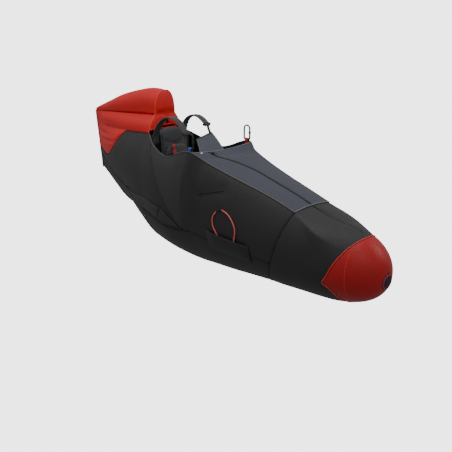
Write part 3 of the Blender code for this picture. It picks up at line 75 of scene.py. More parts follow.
# Heights of the long lines of the body
CROWN_Z = 0.272  # top of the tail hump
CREASE_Z = 0.129  # seam under the hump, at its front
TAIL_TIP_Z = 0.099  # top of the trailing edge
TAIL_FOOT_Z = -0.274  # foot of the trailing edge
SHOULDER_Z = 0.025  # top of the black flank, at the fairing's front
TAIL_SHOULDER_Z = 0.012  # the same line at the trailing edge
RED_TIP_Z = -0.165  # lowest point of the red on the tail's flank
RED_EDGE_Z = -0.135  # where the red ends on the trailing edge
RIM_LOW_Z = -0.065  # lowest point of the cockpit rim
RIDGE_Z = -0.011  # ridge beside the hang loop
RIDGE_DIP_Z = -0.056  # ridge where it levels out
FRONT_RIDGE_Z = -0.245  # ridge at the nose section's seam
NOSE_TOP_Z = -0.290  # top of the body where the round nose begins
NOSE_Z = -0.480  # tip of the nose
BELLY_Z = -0.680  # underside of the body
COVER_SAG = 0.015  # how far the leg cover's rear edge hangs below the ridge
COVER_RISE_X = 0.150  # where the leg cover has come up to its full height
COVER_CROWN = 0.011  # how far the leg cover stands above the ridge further on

# Half widths of the body
CREASE_HALF = 0.075
SHOULDER_HALF = 0.129
RIM_HALF = 0.222
RIDGE_HALF = 0.243
RIDGE_DIP_HALF = 0.206
FRONT_RIDGE_HALF = 0.143
HIP_HALF = 0.255
KNEE_HALF = 0.205
NOSE_HALF = 0.185
EDGE_HALF = 0.006  # trailing edge

# Fullness of the two ends, as powers and shares of a plain round section
NOSE_TOP_POWER = 1.2
NOSE_BELLY_POWER = 0.7
NOSE_SQUARENESS = 0.4
TAIL_KEEL = 0.35

# Cloth and clearances
WALL = 0.003  # padded laminate of the skin
SEAM = 0.0004  # gap between neighbouring pieces
BLOCK_PLAY = 0.0009  # the same for the blocks that fill the bottom of the body

# Hang points and karabiners
HANG_SPAN = 0.450
ROD_R = 0.005
RUN_GAP = 0.0003
LOOP_WIDTH = 0.022
LOOP_WALL = 0.003
LOOP_TAIL = 0.030
RISER_FOOT_LIFT = 0.015

# Webbing and straps
WEBBING_WIDTH = 0.025
WEBBING_THICK = 0.0022
STRAP_WIDTH = 0.046
STRAP_THICK = 0.009
STRAP_Y = 0.116
STRAP_ROOT_Z = -0.055
CHEST_WEBBING = 0.020
CHEST_FOOT_Z = -0.095

# Seat, back and feet
SEAT_WIDTH = 0.330
SEAT_THICK = 0.006
SEAT_TILT = 12.0
SEAT_X = -0.075
SEAT_Z = -0.475
BACK_FOOT_X = -0.244
BACK_TOP = (-0.409, 0.040)
BACK_START = 0.084  # the cushion begins this far up the back's line
BACK_HALF_LOW = SEAT_WIDTH / 2
BACK_HALF_TOP = 0.080
BACK_THICK = 0.026
LUMBAR_HALF = 0.105
LUMBAR_HEIGHT = 0.200
LUMBAR_START = 0.269
LUMBAR_THICK = 0.020
BULKHEAD_X = -0.452
BULKHEAD_THICK = 0.003
PROTECTOR_X = (-0.370, 0.110)

# Reserve parachute
BAG_X = (0.170, 0.400)
BAG_TOP_Z = -0.560
HANDLE_APEX = (0.228, -0.288)
HANDLE_WIDTH = 0.146
HANDLE_HEIGHT = 0.142
HANDLE_R = 0.0033
HANDLE_TUCK = 0.020
FLAP_X = (0.130, 0.410)
FLAP_T = (0.412, 0.560)
FLAP_POCKET = 0.0110

# Zips
ZIP_TOP_Y = -0.112
ZIP_BEND_X = 0.245
ZIP_NOSE_X = 0.945
POCKET_ZIP_X = (0.080, 0.230)
POCKET_ZIP_T = (0.207, 0.111)

# Nose intake
INTAKE_Z = -0.530
INTAKE_R = 0.038

# Speed system
BAR_X = 0.520
BAR_Z = -0.575
BAR_LENGTH = 0.200
BAR_R = 0.008
PULLEY_R = 0.011
PULLEY_WIDTH = 0.006
PULLEY_X = -0.004
PULLEY_Z = -0.360
CHEEK_THICK = 0.002
LINE_R = 0.0015

# Leg buckle
BUCKLE_Y = -0.046
BUCKLE_UP = 0.399
BUCKLE = (0.044, 0.046, 0.012)
TONGUE = (0.026, 0.052, 0.0030)

# Belly flap over the pilot's lap, hung from the left shoulder strap
FLAP_TOP_X = -0.188
FLAP_TOP_Z = 0.006
FLAP_TIP_Z = 0.034
FLAP_TOP_Y = (0.004, 0.125)
FLAP_FOOT_Y = (-0.172, 0.010)

# Shares of the half section, from the top centre line (0) round to the belly's centre line (1)
CREASE_A = 0.16
RIDGE_A = 0.30
CHINE_T = 0.50  # share of the way from ridge to belly where the side panel ends

CLOTH = 0.0024  # thickness of a sewn panel


def lerp(a, b, share):
    return a + (b - a) * share


def smoothstep(share):
    share = min(1.0, max(0.0, share))
    return share * share * (3.0 - 2.0 * share)


def long_line(*points):
    """A smooth line of value against x through these points, with no overshoot between them."""
    xs = [p[0] for p in points]
    ys = [p[1] for p in points]
    rises = [(ys[i + 1] - ys[i]) / (xs[i + 1] - xs[i]) for i in range(len(xs) - 1)]
    slopes = [rises[0]]
    for before, after in zip(rises, rises[1:]):
        same_way = before * after > 0
        slopes.append(2 * before * after / (before + after) if same_way else 0.0)
    slopes.append(rises[-1])

    def value(x):
        if x <= xs[0]:
            return ys[0]
        if x >= xs[-1]:
            return ys[-1]
        i = max(k for k in range(len(xs) - 1) if xs[k] <= x)
        span = xs[i + 1] - xs[i]
        s = (x - xs[i]) / span
        return (
            (1 + 2 * s) * (1 - s) ** 2 * ys[i]
            + s * (1 - s) ** 2 * span * slopes[i]
            + s * s * (3 - 2 * s) * ys[i + 1]
            + s * s * (s - 1) * span * slopes[i + 1]
        )

    return value


# The long lines that shape the body
ridge_z = long_line(
    (TAIL_X, TAIL_SHOULDER_Z),
    (RED_KINK_X, lerp(TAIL_SHOULDER_Z, SHOULDER_Z, 0.25)),
    (FAIRING_X, SHOULDER_Z),
    (lerp(FAIRING_X, RIM_LOW_X, 0.43), lerp(SHOULDER_Z, RIM_LOW_Z, 0.5)),
    (RIM_LOW_X, RIM_LOW_Z),
    (0.0, RIDGE_Z),
    (RIDGE_DIP_X, RIDGE_DIP_Z),
    (FRONT_SEAM_X, FRONT_RIDGE_Z),
    (NOSE_BASE_X, lerp(FRONT_RIDGE_Z, NOSE_TOP_Z, 1.6)),
)
ridge_half = long_line(
    (FAIRING_X, SHOULDER_HALF),
    (lerp(FAIRING_X, RIM_LOW_X, 0.5), lerp(SHOULDER_HALF, RIM_HALF, 0.72)),
    (RIM_LOW_X, RIM_HALF),
    (0.0, RIDGE_HALF),
    (RIDGE_DIP_X, RIDGE_DIP_HALF),
    (FRONT_SEAM_X, FRONT_RIDGE_HALF),
    (NOSE_BASE_X, lerp(FRONT_RIDGE_HALF, NOSE_HALF, 0.4)),
)
side_half = long_line(
    (FAIRING_X, lerp(SHOULDER_HALF, HIP_HALF, 0.85)),
    (RIM_LOW_X, HIP_HALF),
    (0.0, lerp(HIP_HALF, RIDGE_HALF, 0.2)),
    (FRONT_SEAM_X, KNEE_HALF),
    (NOSE_BASE_X, NOSE_HALF),
)
belly_z = long_line(
    (TAIL_X, TAIL_FOOT_Z),
    (lerp(TAIL_X, FAIRING_X, 0.39), lerp(TAIL_FOOT_Z, BELLY_Z, 0.40)),
    (lerp(TAIL_X, FAIRING_X, 0.60), lerp(TAIL_FOOT_Z, BELLY_Z, 0.51)),
    (lerp(TAIL_X, FAIRING_X, 0.78), lerp(TAIL_FOOT_Z, BELLY_Z, 0.69)),
    (FAIRING_X, lerp(TAIL_FOOT_Z, BELLY_Z, 0.865)),
    (RIM_LOW_X, lerp(TAIL_FOOT_Z, BELLY_Z, 0.96)),
    (0.0, BELLY_Z),
    (NOSE_BASE_X, BELLY_Z),
)
crown_z = long_line(
    (TAIL_X, TAIL_TIP_Z + 0.012),
    (lerp(TAIL_X, FAIRING_X, 0.24), lerp(TAIL_TIP_Z, CROWN_Z, 0.40)),
    (lerp(TAIL_X, FAIRING_X, 0.46), lerp(TAIL_TIP_Z, CROWN_Z, 0.70)),
    (lerp(TAIL_X, FAIRING_X, 0.67), lerp(TAIL_TIP_Z, CROWN_Z, 0.885)),
    (lerp(TAIL_X, FAIRING_X, 0.88), CROWN_Z),
    (FAIRING_X, CROWN_Z - 0.006),
)
crease_z = long_line((TAIL_X, TAIL_TIP_Z - 0.004), (FAIRING_X, CREASE_Z))
cover_crown = long_line((COVER_X, -COVER_SAG), (COVER_RISE_X, COVER_CROWN), (FRONT_SEAM_X, COVER_CROWN))
red_edge_z = long_line((TAIL_X, RED_EDGE_Z), (RED_TIP_X, RED_TIP_Z), (RED_KINK_X, ridge_z(RED_KINK_X)))
zip_y = long_line(
    (COVER_X, ZIP_TOP_Y),
    (lerp(COVER_X, ZIP_BEND_X, 0.5), lerp(ZIP_TOP_Y, 0.0, 0.5)),
    (lerp(COVER_X, ZIP_BEND_X, 0.8), lerp(ZIP_TOP_Y, 0.0, 0.8)),
    (lerp(COVER_X, ZIP_BEND_X, 1.2), 0.0),
    (FRONT_SEAM_X, 0.0),
)


def nose_profile(x):
    """Top, underside and half width of the body at x, with the nose rounded off to its tip."""
    base = min(x, NOSE_BASE_X)
    top = lerp(FRONT_RIDGE_Z + COVER_CROWN, NOSE_TOP_Z, (base - FRONT_SEAM_X) / (NOSE_BASE_X - FRONT_SEAM_X))
    half = side_half(base)
    if x <= NOSE_BASE_X:
        return top, BELLY_Z, half
    share = min(1.0, (x - NOSE_BASE_X) / (NOSE_X - NOSE_BASE_X))
    full = math.sqrt(max(0.0, 1.0 - share**2)) ** 0.9
    return lerp(NOSE_Z, top, full**NOSE_TOP_POWER), lerp(NOSE_Z, BELLY_Z, full**NOSE_BELLY_POWER), half * full


def bezier(points, t):
    while len(points) > 1:
        points = [(lerp(p[0], q[0], t), lerp(p[1], q[1], t)) for p, q in zip(points, points[1:])]
    return points[0]


def flank(x, t, taper=1.0):
    """(y, z) on the side of the body: t runs from the ridge (0) to the belly's centre line (1)."""
    top, bottom = ridge_z(x), belly_z(x)
    drop = bottom - top

    def half(width):
        return lerp(EDGE_HALF, width, taper)

    keel = lerp(TAIL_KEEL, 1.0, smoothstep((x - TAIL_X) / -TAIL_X))
    bulge = half(side_half(x) * 1.13)
    return bezier(
        [
            (half(ridge_half(x)), top),
            (bulge, top + 0.30 * drop),
            (bulge * lerp(1.0, keel, 0.35), top + 0.75 * drop),
            (half(side_half(x) * 0.62 * keel), bottom),
            (0.0, bottom),
        ],
        t,
    )


def tail_share(x):
    return min(1.0, max(0.0, (x - TAIL_X) / (FAIRING_X - TAIL_X)))


def tail_section(x, a):
    """(y, z) of the tapering tail."""
    share = tail_share(x)
    taper = share * (1.5 - 0.5 * share)
    crease = (lerp(EDGE_HALF, CREASE_HALF, taper), crease_z(x))
    if a <= CREASE_A:
        angle = a / CREASE_A * math.pi / 2
        return crease[0] * math.sin(angle) ** 0.85, lerp(crease[1], crown_z(x), math.cos(angle) ** 0.8)
    if a >= RIDGE_A:
        return flank(x, (a - RIDGE_A) / (1 - RIDGE_A), taper)
    s = (a - CREASE_A) / (RIDGE_A - CREASE_A)
    shoulder = flank(x, 0.0, taper)
    bulge = 0.10 * CREASE_HALF * taper * math.sin(math.pi * s)
    return lerp(crease[0], shoulder[0], s) + bulge, lerp(crease[1], shoulder[1], s) + 0.5 * bulge


def pod_section(x, a):
    """(y, z) of the pod: a flat top between two ridges that melts into a round nose."""
    if a <= RIDGE_A:
        p = a / RIDGE_A
        y, z = ridge_half(x) * p, ridge_z(x) + cover_crown(x) * (1 - p * p)
    else:
        y, z = flank(x, (a - RIDGE_A) / (1 - RIDGE_A))
    rounding = smoothstep((x - FRONT_SEAM_X) / (NOSE_BASE_X + 0.05 - FRONT_SEAM_X))
    if rounding == 0.0:
        return y, z
    top, bottom, half = nose_profile(x)
    ridge_angle = math.radians(50)
    if a <= RIDGE_A:
        angle = ridge_angle * a / RIDGE_A
    else:
        angle = lerp(ridge_angle, math.pi, (a - RIDGE_A) / (1 - RIDGE_A))
    middle = lerp(bottom, top, 0.47)
    across, upward = math.sin(angle), math.cos(angle)
    if upward > 0:
        power = lerp(NOSE_SQUARENESS, 1.0, smoothstep((x - FRONT_SEAM_X) / (NOSE_ROUND_X - FRONT_SEAM_X)))
        across, upward = across**power, upward**power * (top - middle)
    else:
        upward *= middle - bottom
    return lerp(y, half * across, rounding), lerp(z, middle + upward, rounding)


def hull(x, a, depth=0.0):
    """A point of the body: a runs from the top centre line (0) to the belly (1), negative on the right.
    depth is measured inwards, and is negative outside the skin."""
    side = -1.0 if a < 0 else 1.0
    in_tail = x < FAIRING_X
    y, z = tail_section(x, abs(a)) if in_tail else pod_section(x, abs(a))
    place = Vector((x, side * y, z))
    heart_low, heart_high = belly_z(x) + 0.20, ridge_z(x) - 0.16
    if in_tail:
        rake = TAIL_RAKE * (1 - tail_share(x)) * (TAIL_TIP_Z - z) / (TAIL_TIP_Z - TAIL_FOOT_Z)
        place.x += max(0.0, rake)
        room = lerp(0.01, 0.20, tail_share(x))
        heart_low, heart_high = belly_z(x) + room, crown_z(x) - room
    if heart_low > heart_high:
        heart_low = heart_high = (heart_low + heart_high) / 2
    heart = Vector((min(place.x, NOSE_X - 0.16), 0.0, min(max(z, heart_low), heart_high)))
    return place + (heart - place).normalized() * depth


def side_a(t):
    return RIDGE_A + (1 - RIDGE_A) * t


def bisect(before, low, high):
    """Where before, true at low, stops being true on the way to high."""
    for _ in range(40):
        middle = (low + high) / 2
        if before(middle):
            low = middle
        else:
            high = middle
    return (low + high) / 2


def section_share_at(x, z):
    """The share a of the half section whose point on the flank has height z."""
    return side_a(bisect(lambda t: hull(x, side_a(t)).z > z, 0.0, 1.0))


def rear_seam_x(a):
    """x of the seam between tail flank and pod side, at share a of the half section."""
    return REAR_SEAM_X + REAR_SEAM_SLANT * (abs(a) - RIDGE_A) / (side_a(CHINE_T) - RIDGE_A)


def front_seam_x(a):
    """x of the nose section's seam, at share a of the half section."""
    return FRONT_SEAM_X - FRONT_SEAM_SLANT * max(0.0, abs(a) - RIDGE_A) / (1 - RIDGE_A)


def red_edge_a(x):
    """Where the red gives way to black on the tail's flank at x, as a share of the half section."""
    return RIDGE_A if x >= RED_KINK_X else max(RIDGE_A, section_share_at(x, red_edge_z(x)))


def cap_edge_x(a):
    """x of the red nose cap's edge: furthest back in a point on each flank."""
    top_x, tip_x, foot_x = NOSE_X - 0.115, NOSE_X - 0.256, NOSE_X - 0.150
    tip_a = side_a(0.444)
    share = abs(a) / tip_a
    if share <= 1.0:
        return lerp(top_x, tip_x, share**1.7)
    return lerp(tip_x, foot_x, ((abs(a) - tip_a) / (1 - tip_a)) ** 0.45)


def intake_frame():
    """Centre of the nose intake on the skin, and the way it faces."""
    x = bisect(lambda place: nose_profile(place)[1] < INTAKE_Z, NOSE_BASE_X, NOSE_X)
    step = 1e-3
    slope = (nose_profile(x)[1] - nose_profile(x - step)[1]) / step
    return Vector((x, 0.0, INTAKE_Z)), Vector((slope, 0.0, -1.0)).normalized()


def back_foot():
    """Where the line of the backrest's rear face meets the seat plate."""
    rise = (BACK_FOOT_X - SEAT_X) * math.tan(math.radians(SEAT_TILT))
    return Vector((BACK_FOOT_X, 0, SEAT_Z + rise + SEAT_THICK / 2 + 2 * SEAM))


def back_axes():
    """Up the backrest, across it, and out of its front."""
    foot, top = back_foot(), Vector((BACK_TOP[0], 0, BACK_TOP[1]))
    up = (top - foot).normalized()
    across = Vector((0, 1, 0))
    return up, across, across.cross(up)


def handle_points():
    """The reserve handle's loop as (x, z) pairs, from its rear end over the top to its front end."""
    x, z = HANDLE_APEX
    w, h = HANDLE_WIDTH, HANDLE_HEIGHT
    loop = [(x - 0.10 * w, z - h - HANDLE_TUCK), (x - 0.13 * w, z - h), (x - 0.30 * w, z - 0.62 * h)]
    loop += [(x - 0.27 * w, z - 0.26 * h), (x, z), (x + 0.34 * w, z - 0.10 * h), (x + 0.59 * w, z - 0.37 * h)]
    loop += [(x + 0.70 * w, z - 0.68 * h), (x + 0.64 * w, z - h), (x + 0.61 * w, z - h - HANDLE_TUCK)]
    return loop


def riser_y(z):
    """Half spacing of the main risers at height z."""
    top, foot = -LOOP_TAIL - SEAM, SEAT_Z + RISER_FOOT_LIFT
    return lerp(HANG_SPAN / 2, SEAT_WIDTH / 2 + WEBBING_THICK / 2 + SEAM, (top - z) / (top - foot))


def seat_underside(x):
    """Height of the seat plate's lower face at x."""
    return SEAT_Z + (x - SEAT_X) * math.tan(math.radians(SEAT_TILT)) - SEAT_THICK / 2 - SEAM


ARCHES = {
    "right": ((-0.402, -0.030), (-0.400, 0.015), (-0.374, 0.068), (-0.329, 0.112))
    + ((-0.277, 0.132), (-0.227, 0.124), (-0.185, 0.098), (-0.140, 0.045)),
    "left": ((-0.406, -0.025), (-0.408, 0.030), (-0.384, 0.085), (-0.336, 0.117))
    + ((-0.285, 0.117), (-0.241, 0.097), (-0.208, 0.068)),
}


def shares(count):
    return [i / (count - 1) for i in range(count)]


def bell(offset, width):
    return math.exp(-((offset / width) ** 2))


# Looks

BANDS_PER_SCALE = 3.2  # bands of a wave texture in one metre, at a scale of one

# Name, colour, roughness, thread pitch, relief, colour change, sheen, rumples, ripstop squares, gloss
CLOTHS = {
    "red": ("red_ripstop", (0.60, 0.0085, 0.008), 0.46, 0.0011, 0.05, 0.12, 0.0, 0.5, 0.006, 0.28),
    # Darker copy of the red cloth: painted shade for the cords in the tail's crease and shoulder fold
    "red_painted_shade": ("red_fold", (0.16, 0.003, 0.003), 0.60, 0.0011, 0.05, 0.14, 0.0, 0.3, 0.0, 0.2),
    "nose_red": ("red_nose_cloth", (0.34, 0.0065, 0.0065), 0.42, 0.0011, 0.05, 0.12, 0.0, 0.4, 0.006, 0.28),
    "black": ("black_laminate", (0.0082, 0.0082, 0.0084), 0.62, 0.0016, 0.10, 0.20, 0.03, 0.5),
    "black_light": ("black_laminate_side", (0.0165, 0.0165, 0.0168), 0.60, 0.0016, 0.10, 0.20, 0.03, 0.5),
    "grey": ("grey_stretch_cloth", (0.029, 0.033, 0.050), 0.66, 0.0009, 0.08, 0.10, 0.06, 0.25),
    "lining": ("dark_lining", (0.030, 0.0305, 0.034), 0.80, 0.0014, 0.08, 0.20, 0.04, 0.4),
    "pad": ("padded_mesh_cloth", (0.040, 0.038, 0.040), 0.82, 0.0030, 0.30, 0.20, 0.06, 0.3),
    "pad_edge": ("pad_piping", (0.080, 0.084, 0.095), 0.70, 0.0012, 0.10, 0.15, 0.05),
    "web": ("black_webbing", (0.0085, 0.0085, 0.0092), 0.74, 0.0022, 0.35, 0.20, 0.05),
    "web_blue": ("blue_webbing", (0.012, 0.085, 0.340), 0.66, 0.0018, 0.35, 0.18, 0.05),
    "web_red": ("red_webbing", (0.42, 0.018, 0.020), 0.66, 0.0018, 0.35, 0.18, 0.05),
    "handle": ("salmon_webbing", (0.72, 0.120, 0.105), 0.62, 0.0018, 0.30, 0.15, 0.05),
    "hem": ("brown_grey_hem", (0.100, 0.097, 0.088), 0.62, 0.0012, 0.15, 0.10, 0.05),
    "rim": ("grey_rim_tape", (0.060, 0.060, 0.062), 0.66, 0.0012, 0.15, 0.15, 0.05),
    "cover_seam": ("pale_grey_seam", (0.135, 0.145, 0.175), 0.62, 0.0012, 0.15, 0.10, 0.05),
    # Bright red cord for seams, and for a painted highlight along the nose cap's edge
    "pink_seam_and_highlight": ("bright_red_seam", (0.80, 0.065, 0.045), 0.55, 0.0012, 0.15, 0.10, 0.0),
    "dark_seam": ("dark_seam_tape", (0.0060, 0.0060, 0.0062), 0.70, 0.0012, 0.15, 0.15, 0.02),
    "grey_seam": ("grey_seam_tape", (0.026, 0.026, 0.027), 0.64, 0.0012, 0.15, 0.15, 0.04),
    "zip_tape": ("zip_tape", (0.0040, 0.0042, 0.0060), 0.62, 0.0010, 0.20, 0.15, 0.02),
    "net": ("dark_net", (0.135, 0.045, 0.062), 0.80, 0.0012, 0.20, 0.20, 0.05),
    "foam": ("foam", (0.055, 0.055, 0.060), 0.92, 0.0030, 0.30, 0.25, 0.05),
}
# Name, colour, roughness, metallic share, grain, relief, colour change
HARD_LOOKS = {
    "anodised": ("black_anodised", (0.0040, 0.0040, 0.0043), 0.55, 0.0, 420.0, 0.10, 0.25),
    "pale_metal": ("pale_slider", (0.60, 0.60, 0.58), 0.38, 0.4, 500.0, 0.10, 0.10),
    "plastic": ("black_plastic", (0.011, 0.011, 0.012), 0.48, 0.0, 700.0, 0.25, 0.20),
    "red_plastic": ("red_plastic", (0.40, 0.012, 0.014), 0.38, 0.0, 700.0, 0.15, 0.12),
    "zip_teeth": ("zip_teeth", (0.007, 0.007, 0.010), 0.42, 0.0, 500.0, 0.10, 0.20),
}
# Looks of the solids that stay in view, by how their names begin
SOLID_LOOKS = {
    "anodised": ("karabiner", "gate_", "lock_sleeve", "pulley_block", "zip_slider", "zip_pull")
    + ("side_pocket_slider",),
    "plastic": ("pulley_right", "pulley_left", "strap_adjuster", "buckle_housing"),
    "net": ("intake_ring", "intake_net"),
    "carbon": ("seat_plate", "footplate", "speed_bar"),
    "red_plastic": ("buckle_tongue", "buckle_button"),
}


def set_inputs(node, **values):
    for key, value in values.items():
        node.inputs[key.replace("_", " ")].default_value = value


def new_material(name):
    """A material, its nodes, its shader, and the place on the object that its patterns follow."""
    material = bpy.data.materials.new(name)
    material.use_nodes = True
    tree = material.node_tree
    place = tree.nodes.new("ShaderNodeTexCoord").outputs["Object"]
    return material, tree, tree.nodes["Principled BSDF"], place


def pattern(tree, kind, place, **inputs):
    node = tree.nodes.new(kind)
    set_inputs(node, **inputs)
    tree.links.new(place, node.inputs["Vector"])
    return node


def noise_factor(tree, place, **inputs):
    return pattern(tree, "ShaderNodeTexNoise", place, **inputs).outputs["Fac"]


def wave_factor(tree, place, direction, pitch, **inputs):
    """Parallel bands at this pitch, in metres."""
    wave = pattern(tree, "ShaderNodeTexWave", place, Scale=1 / pitch / BANDS_PER_SCALE, **inputs)
    wave.bands_direction = direction
    return wave.outputs["Fac"]


def math_node(tree, operation, first, second):
    node = tree.nodes.new("ShaderNodeMath")
    node.operation = operation
    for socket, value in zip(node.inputs, (first, second)):
        if isinstance(value, (int, float)):
            socket.default_value = value
        else:
            tree.links.new(value, socket)
    return node.outputs[0]


def add_scaled(tree, first, second, scale):
    """first + second * scale."""
    return math_node(tree, "ADD", math_node(tree, "MULTIPLY", second, scale), first)


def two_tone(tree, factor, dark, light):
    """A colour between two, by a factor socket."""
    mix = tree.nodes.new("ShaderNodeMix")
    mix.data_type = "RGBA"
    tree.links.new(factor, mix.inputs["Factor"])
    mix.inputs["A"].default_value = (*dark, 1)
    mix.inputs["B"].default_value = (*light, 1)
    return mix.outputs["Result"]


def paint(tree, shader, colour, vary, colour_factor, roughness, spread, rough_factor):
    """Colour and roughness that wander a little about their middle values."""
    dark = [c * (1 - vary) for c in colour]
    light = [min(1.0, c * (1 + vary)) for c in colour]
    tree.links.new(two_tone(tree, colour_factor, dark, light), shader.inputs["Base Color"])
    rough = add_scaled(tree, roughness - spread / 2, rough_factor, spread)
    tree.links.new(rough, shader.inputs["Roughness"])


def emboss(tree, shader, height, strength, distance):
    bump = tree.nodes.new("ShaderNodeBump")
    set_inputs(bump, Strength=strength, Distance=distance)
    tree.links.new(height, bump.inputs["Height"])
    tree.links.new(bump.outputs["Normal"], shader.inputs["Normal"])


def cloth(name, colour, roughness, pitch, relief, vary, sheen, rumple=0.0, grid=0.0, gloss=0.5):
    """Woven cloth: thread relief, slow colour change and soft rumples. grid adds ripstop squares."""
    material, tree, shader, place = new_material(name)
    slow = noise_factor(tree, place, Scale=7.0, Detail=5.0, Roughness=0.6)
    fine = noise_factor(tree, place, Scale=420.0, Detail=2.0)
    mixed = add_scaled(tree, math_node(tree, "MULTIPLY", slow, 0.75), fine, 0.25)
    paint(tree, shader, colour, vary, mixed, roughness, 0.16, slow)
    threads = [wave_factor(tree, place, way, pitch, Distortion=0.3, Detail=1.0) for way in ("X", "Y", "Z")]
    woven = math_node(tree, "ADD", math_node(tree, "ADD", threads[0], threads[1]), threads[2])
    height = math_node(tree, "MULTIPLY", woven, relief)
    if rumple:
        folds = noise_factor(tree, place, Scale=11.0, Detail=3.0, Distortion=0.6)
        height = add_scaled(tree, height, folds, rumple)
    if grid:
        lines = [math_node(tree, "POWER", wave_factor(tree, place, way, grid), 14.0) for way in ("X", "Z")]
        height = add_scaled(tree, height, math_node(tree, "ADD", *lines), 0.25)
    emboss(tree, shader, height, 0.35, 0.0012)
    set_inputs(shader, Specular_IOR_Level=gloss, Sheen_Weight=sheen, Sheen_Roughness=0.5)
    return material


def hard(name, colour, roughness, metallic, grain, relief, vary):
    """Moulded, cast or anodised surface with fine grain and slight wear."""
    material, tree, shader, place = new_material(name)
    coarse = noise_factor(tree, place, Scale=60.0, Detail=4.0)
    fine = noise_factor(tree, place, Scale=grain, Detail=3.0)
    paint(tree, shader, colour, vary, coarse, roughness, 0.2, coarse)
    emboss(tree, shader, fine, relief, 0.0003)
    set_inputs(shader, Metallic=metallic)
    return material


def carbon(name):
    """Twill carbon laminate under a clear coat."""
    material, tree, shader, place = new_material(name)
    check = pattern(tree, "ShaderNodeTexChecker", place, Scale=260.0)
    shade = two_tone(tree, check.outputs["Fac"], (0.012, 0.012, 0.014), (0.045, 0.045, 0.050))
    tree.links.new(shade, shader.inputs["Base Color"])
    set_inputs(shader, Roughness=0.35, Coat_Weight=0.6)
    return material


LOOKS = {key: cloth(*row) for key, row in CLOTHS.items()}
LOOKS.update({key: hard(*row) for key, row in HARD_LOOKS.items()})
LOOKS["carbon"] = carbon("carbon_laminate")


# Pieces

SIDES = ((-1, "right"), (1, "left"))
BOX_CORNERS = [(p, q, r) for p in (-1, 1) for q in (-1, 1) for r in (-1, 1)]
BOX_FACES = ((0, 1, 3, 2), (4, 6, 7, 5), (0, 4, 5, 1), (2, 3, 7, 6), (0, 2, 6, 4), (1, 5, 7, 3))


def add_object(name, data):
    made = bpy.data.objects.new(name, data)
    bpy.context.scene.collection.objects.link(made)
    return made


def finish_piece(name, mesh, look, node=None, body="harness"):
    """A piece of the object: it moves with body, and node is the solid that it stands in for."""
    mesh.name = name
    mesh.materials.append(LOOKS[look])
    mesh.shade_smooth()
    made = add_object(name, mesh)
    if body:
        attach(made, body)
    if node:
        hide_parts(node)
    return made


def mesh_of(points, faces):
    mesh = bpy.data.meshes.new("piece")
    mesh.from_pydata([tuple(p) for p in points], [], faces)
    shape = bmesh.new()
    shape.from_mesh(mesh)
    bmesh.ops.remove_doubles(shape, verts=shape.verts, dist=1e-6)
    bmesh.ops.recalc_face_normals(shape, faces=shape.faces)
    shape.to_mesh(mesh)
    shape.free()
    return mesh


def two_grids(rows, columns, pair):
    """Face and back of a sheet: pair(u, v) gives a point of each."""
    grid = [[pair(u, v) for v in columns] for u in rows]
    return [[[points[k] for points in row] for row in grid] for k in (0, 1)]


def grid_mesh(outer, inner, wrap=False):
    """A closed sheet between two grids of points."""
    rows, columns = len(outer), len(outer[0])
    half, last = rows * columns, (rows - 1) * columns
    steps = [(j, (j + 1) % columns) for j in range(columns if wrap else columns - 1)]
    faces, ends = [], []
    for here in range(0, last, columns):
        for j, k in steps:
            a, b, c, d = here + j, here + k, here + columns + k, here + columns + j
            faces += [(a, b, c, d), (half + d, half + c, half + b, half + a)]
    for j, k in steps:
        ends += [(k, j), (last + j, last + k)]
    if not wrap:
        for here in range(0, last, columns):
            there = here + columns
            ends += [(here, there), (there + columns - 1, there - 1)]
    faces += [(a, b, half + b, half + a) for a, b in ends]
    return mesh_of([p for grid in (outer, inner) for row in grid for p in row], faces)


def ring_faces(rows, columns, closed=False):
    """Faces from ring to ring, and the two end faces unless the last ring joins the first."""
    faces = []
    for i in range(rows if closed else rows - 1):
        here, there = i * columns, (i + 1) % rows * columns
        for j in range(columns):
            k = (j + 1) % columns
            faces.append((here + j, here + k, there + k, there + j))
    if not closed:
        last = (rows - 1) * columns
        faces += [tuple(range(columns)), tuple(reversed(range(last, last + columns)))]
    return faces


def ring_mesh(rings, closed=False):
    return mesh_of([p for ring in rings for p in ring], ring_faces(len(rings), len(rings[0]), closed))


def circle(centre, first, second, radius, sides):
    """Points round centre in the plane of two unit directions."""
    turns = [2 * math.pi * j / sides for j in range(sides)]
    return [centre + (first * math.cos(turn) + second * math.sin(turn)) * radius for turn in turns]


def add_box(points, faces, centre, halves):
    """A small box more, by its centre and its three half edges."""
    base = len(points)
    for corner in BOX_CORNERS:
        points.append(sum((half * sign for half, sign in zip(halves, corner)), centre))
    faces += [tuple(base + i for i in face) for face in BOX_FACES]


def strip_area(low, high):
    """Area between two rows of points."""
    area = 0.0
    for j in range(len(low) - 1):
        area += (low[j + 1] - low[j]).cross(high[j] - low[j]).length / 2
        area += (high[j + 1] - high[j]).cross(high[j + 1] - low[j + 1]).length / 2
    return area


def declare_sheet(grid):
    """Works out the cloth's flat size, its longest row and column, and its area, and keeps none of them."""
    across = max(sum((b - a).length for a, b in zip(row, row[1:])) for row in grid)
    down = max(sum((b[j] - a[j]).length for a, b in zip(grid, grid[1:])) for j in range(len(grid[0])))
    area = sum(strip_area(low, high) for low, high in zip(grid, grid[1:]))


def swell(s, sharp=6):
    """0 at both ends of 0..1 and 1 between them."""
    return 1 - abs(2 * s - 1) ** sharp


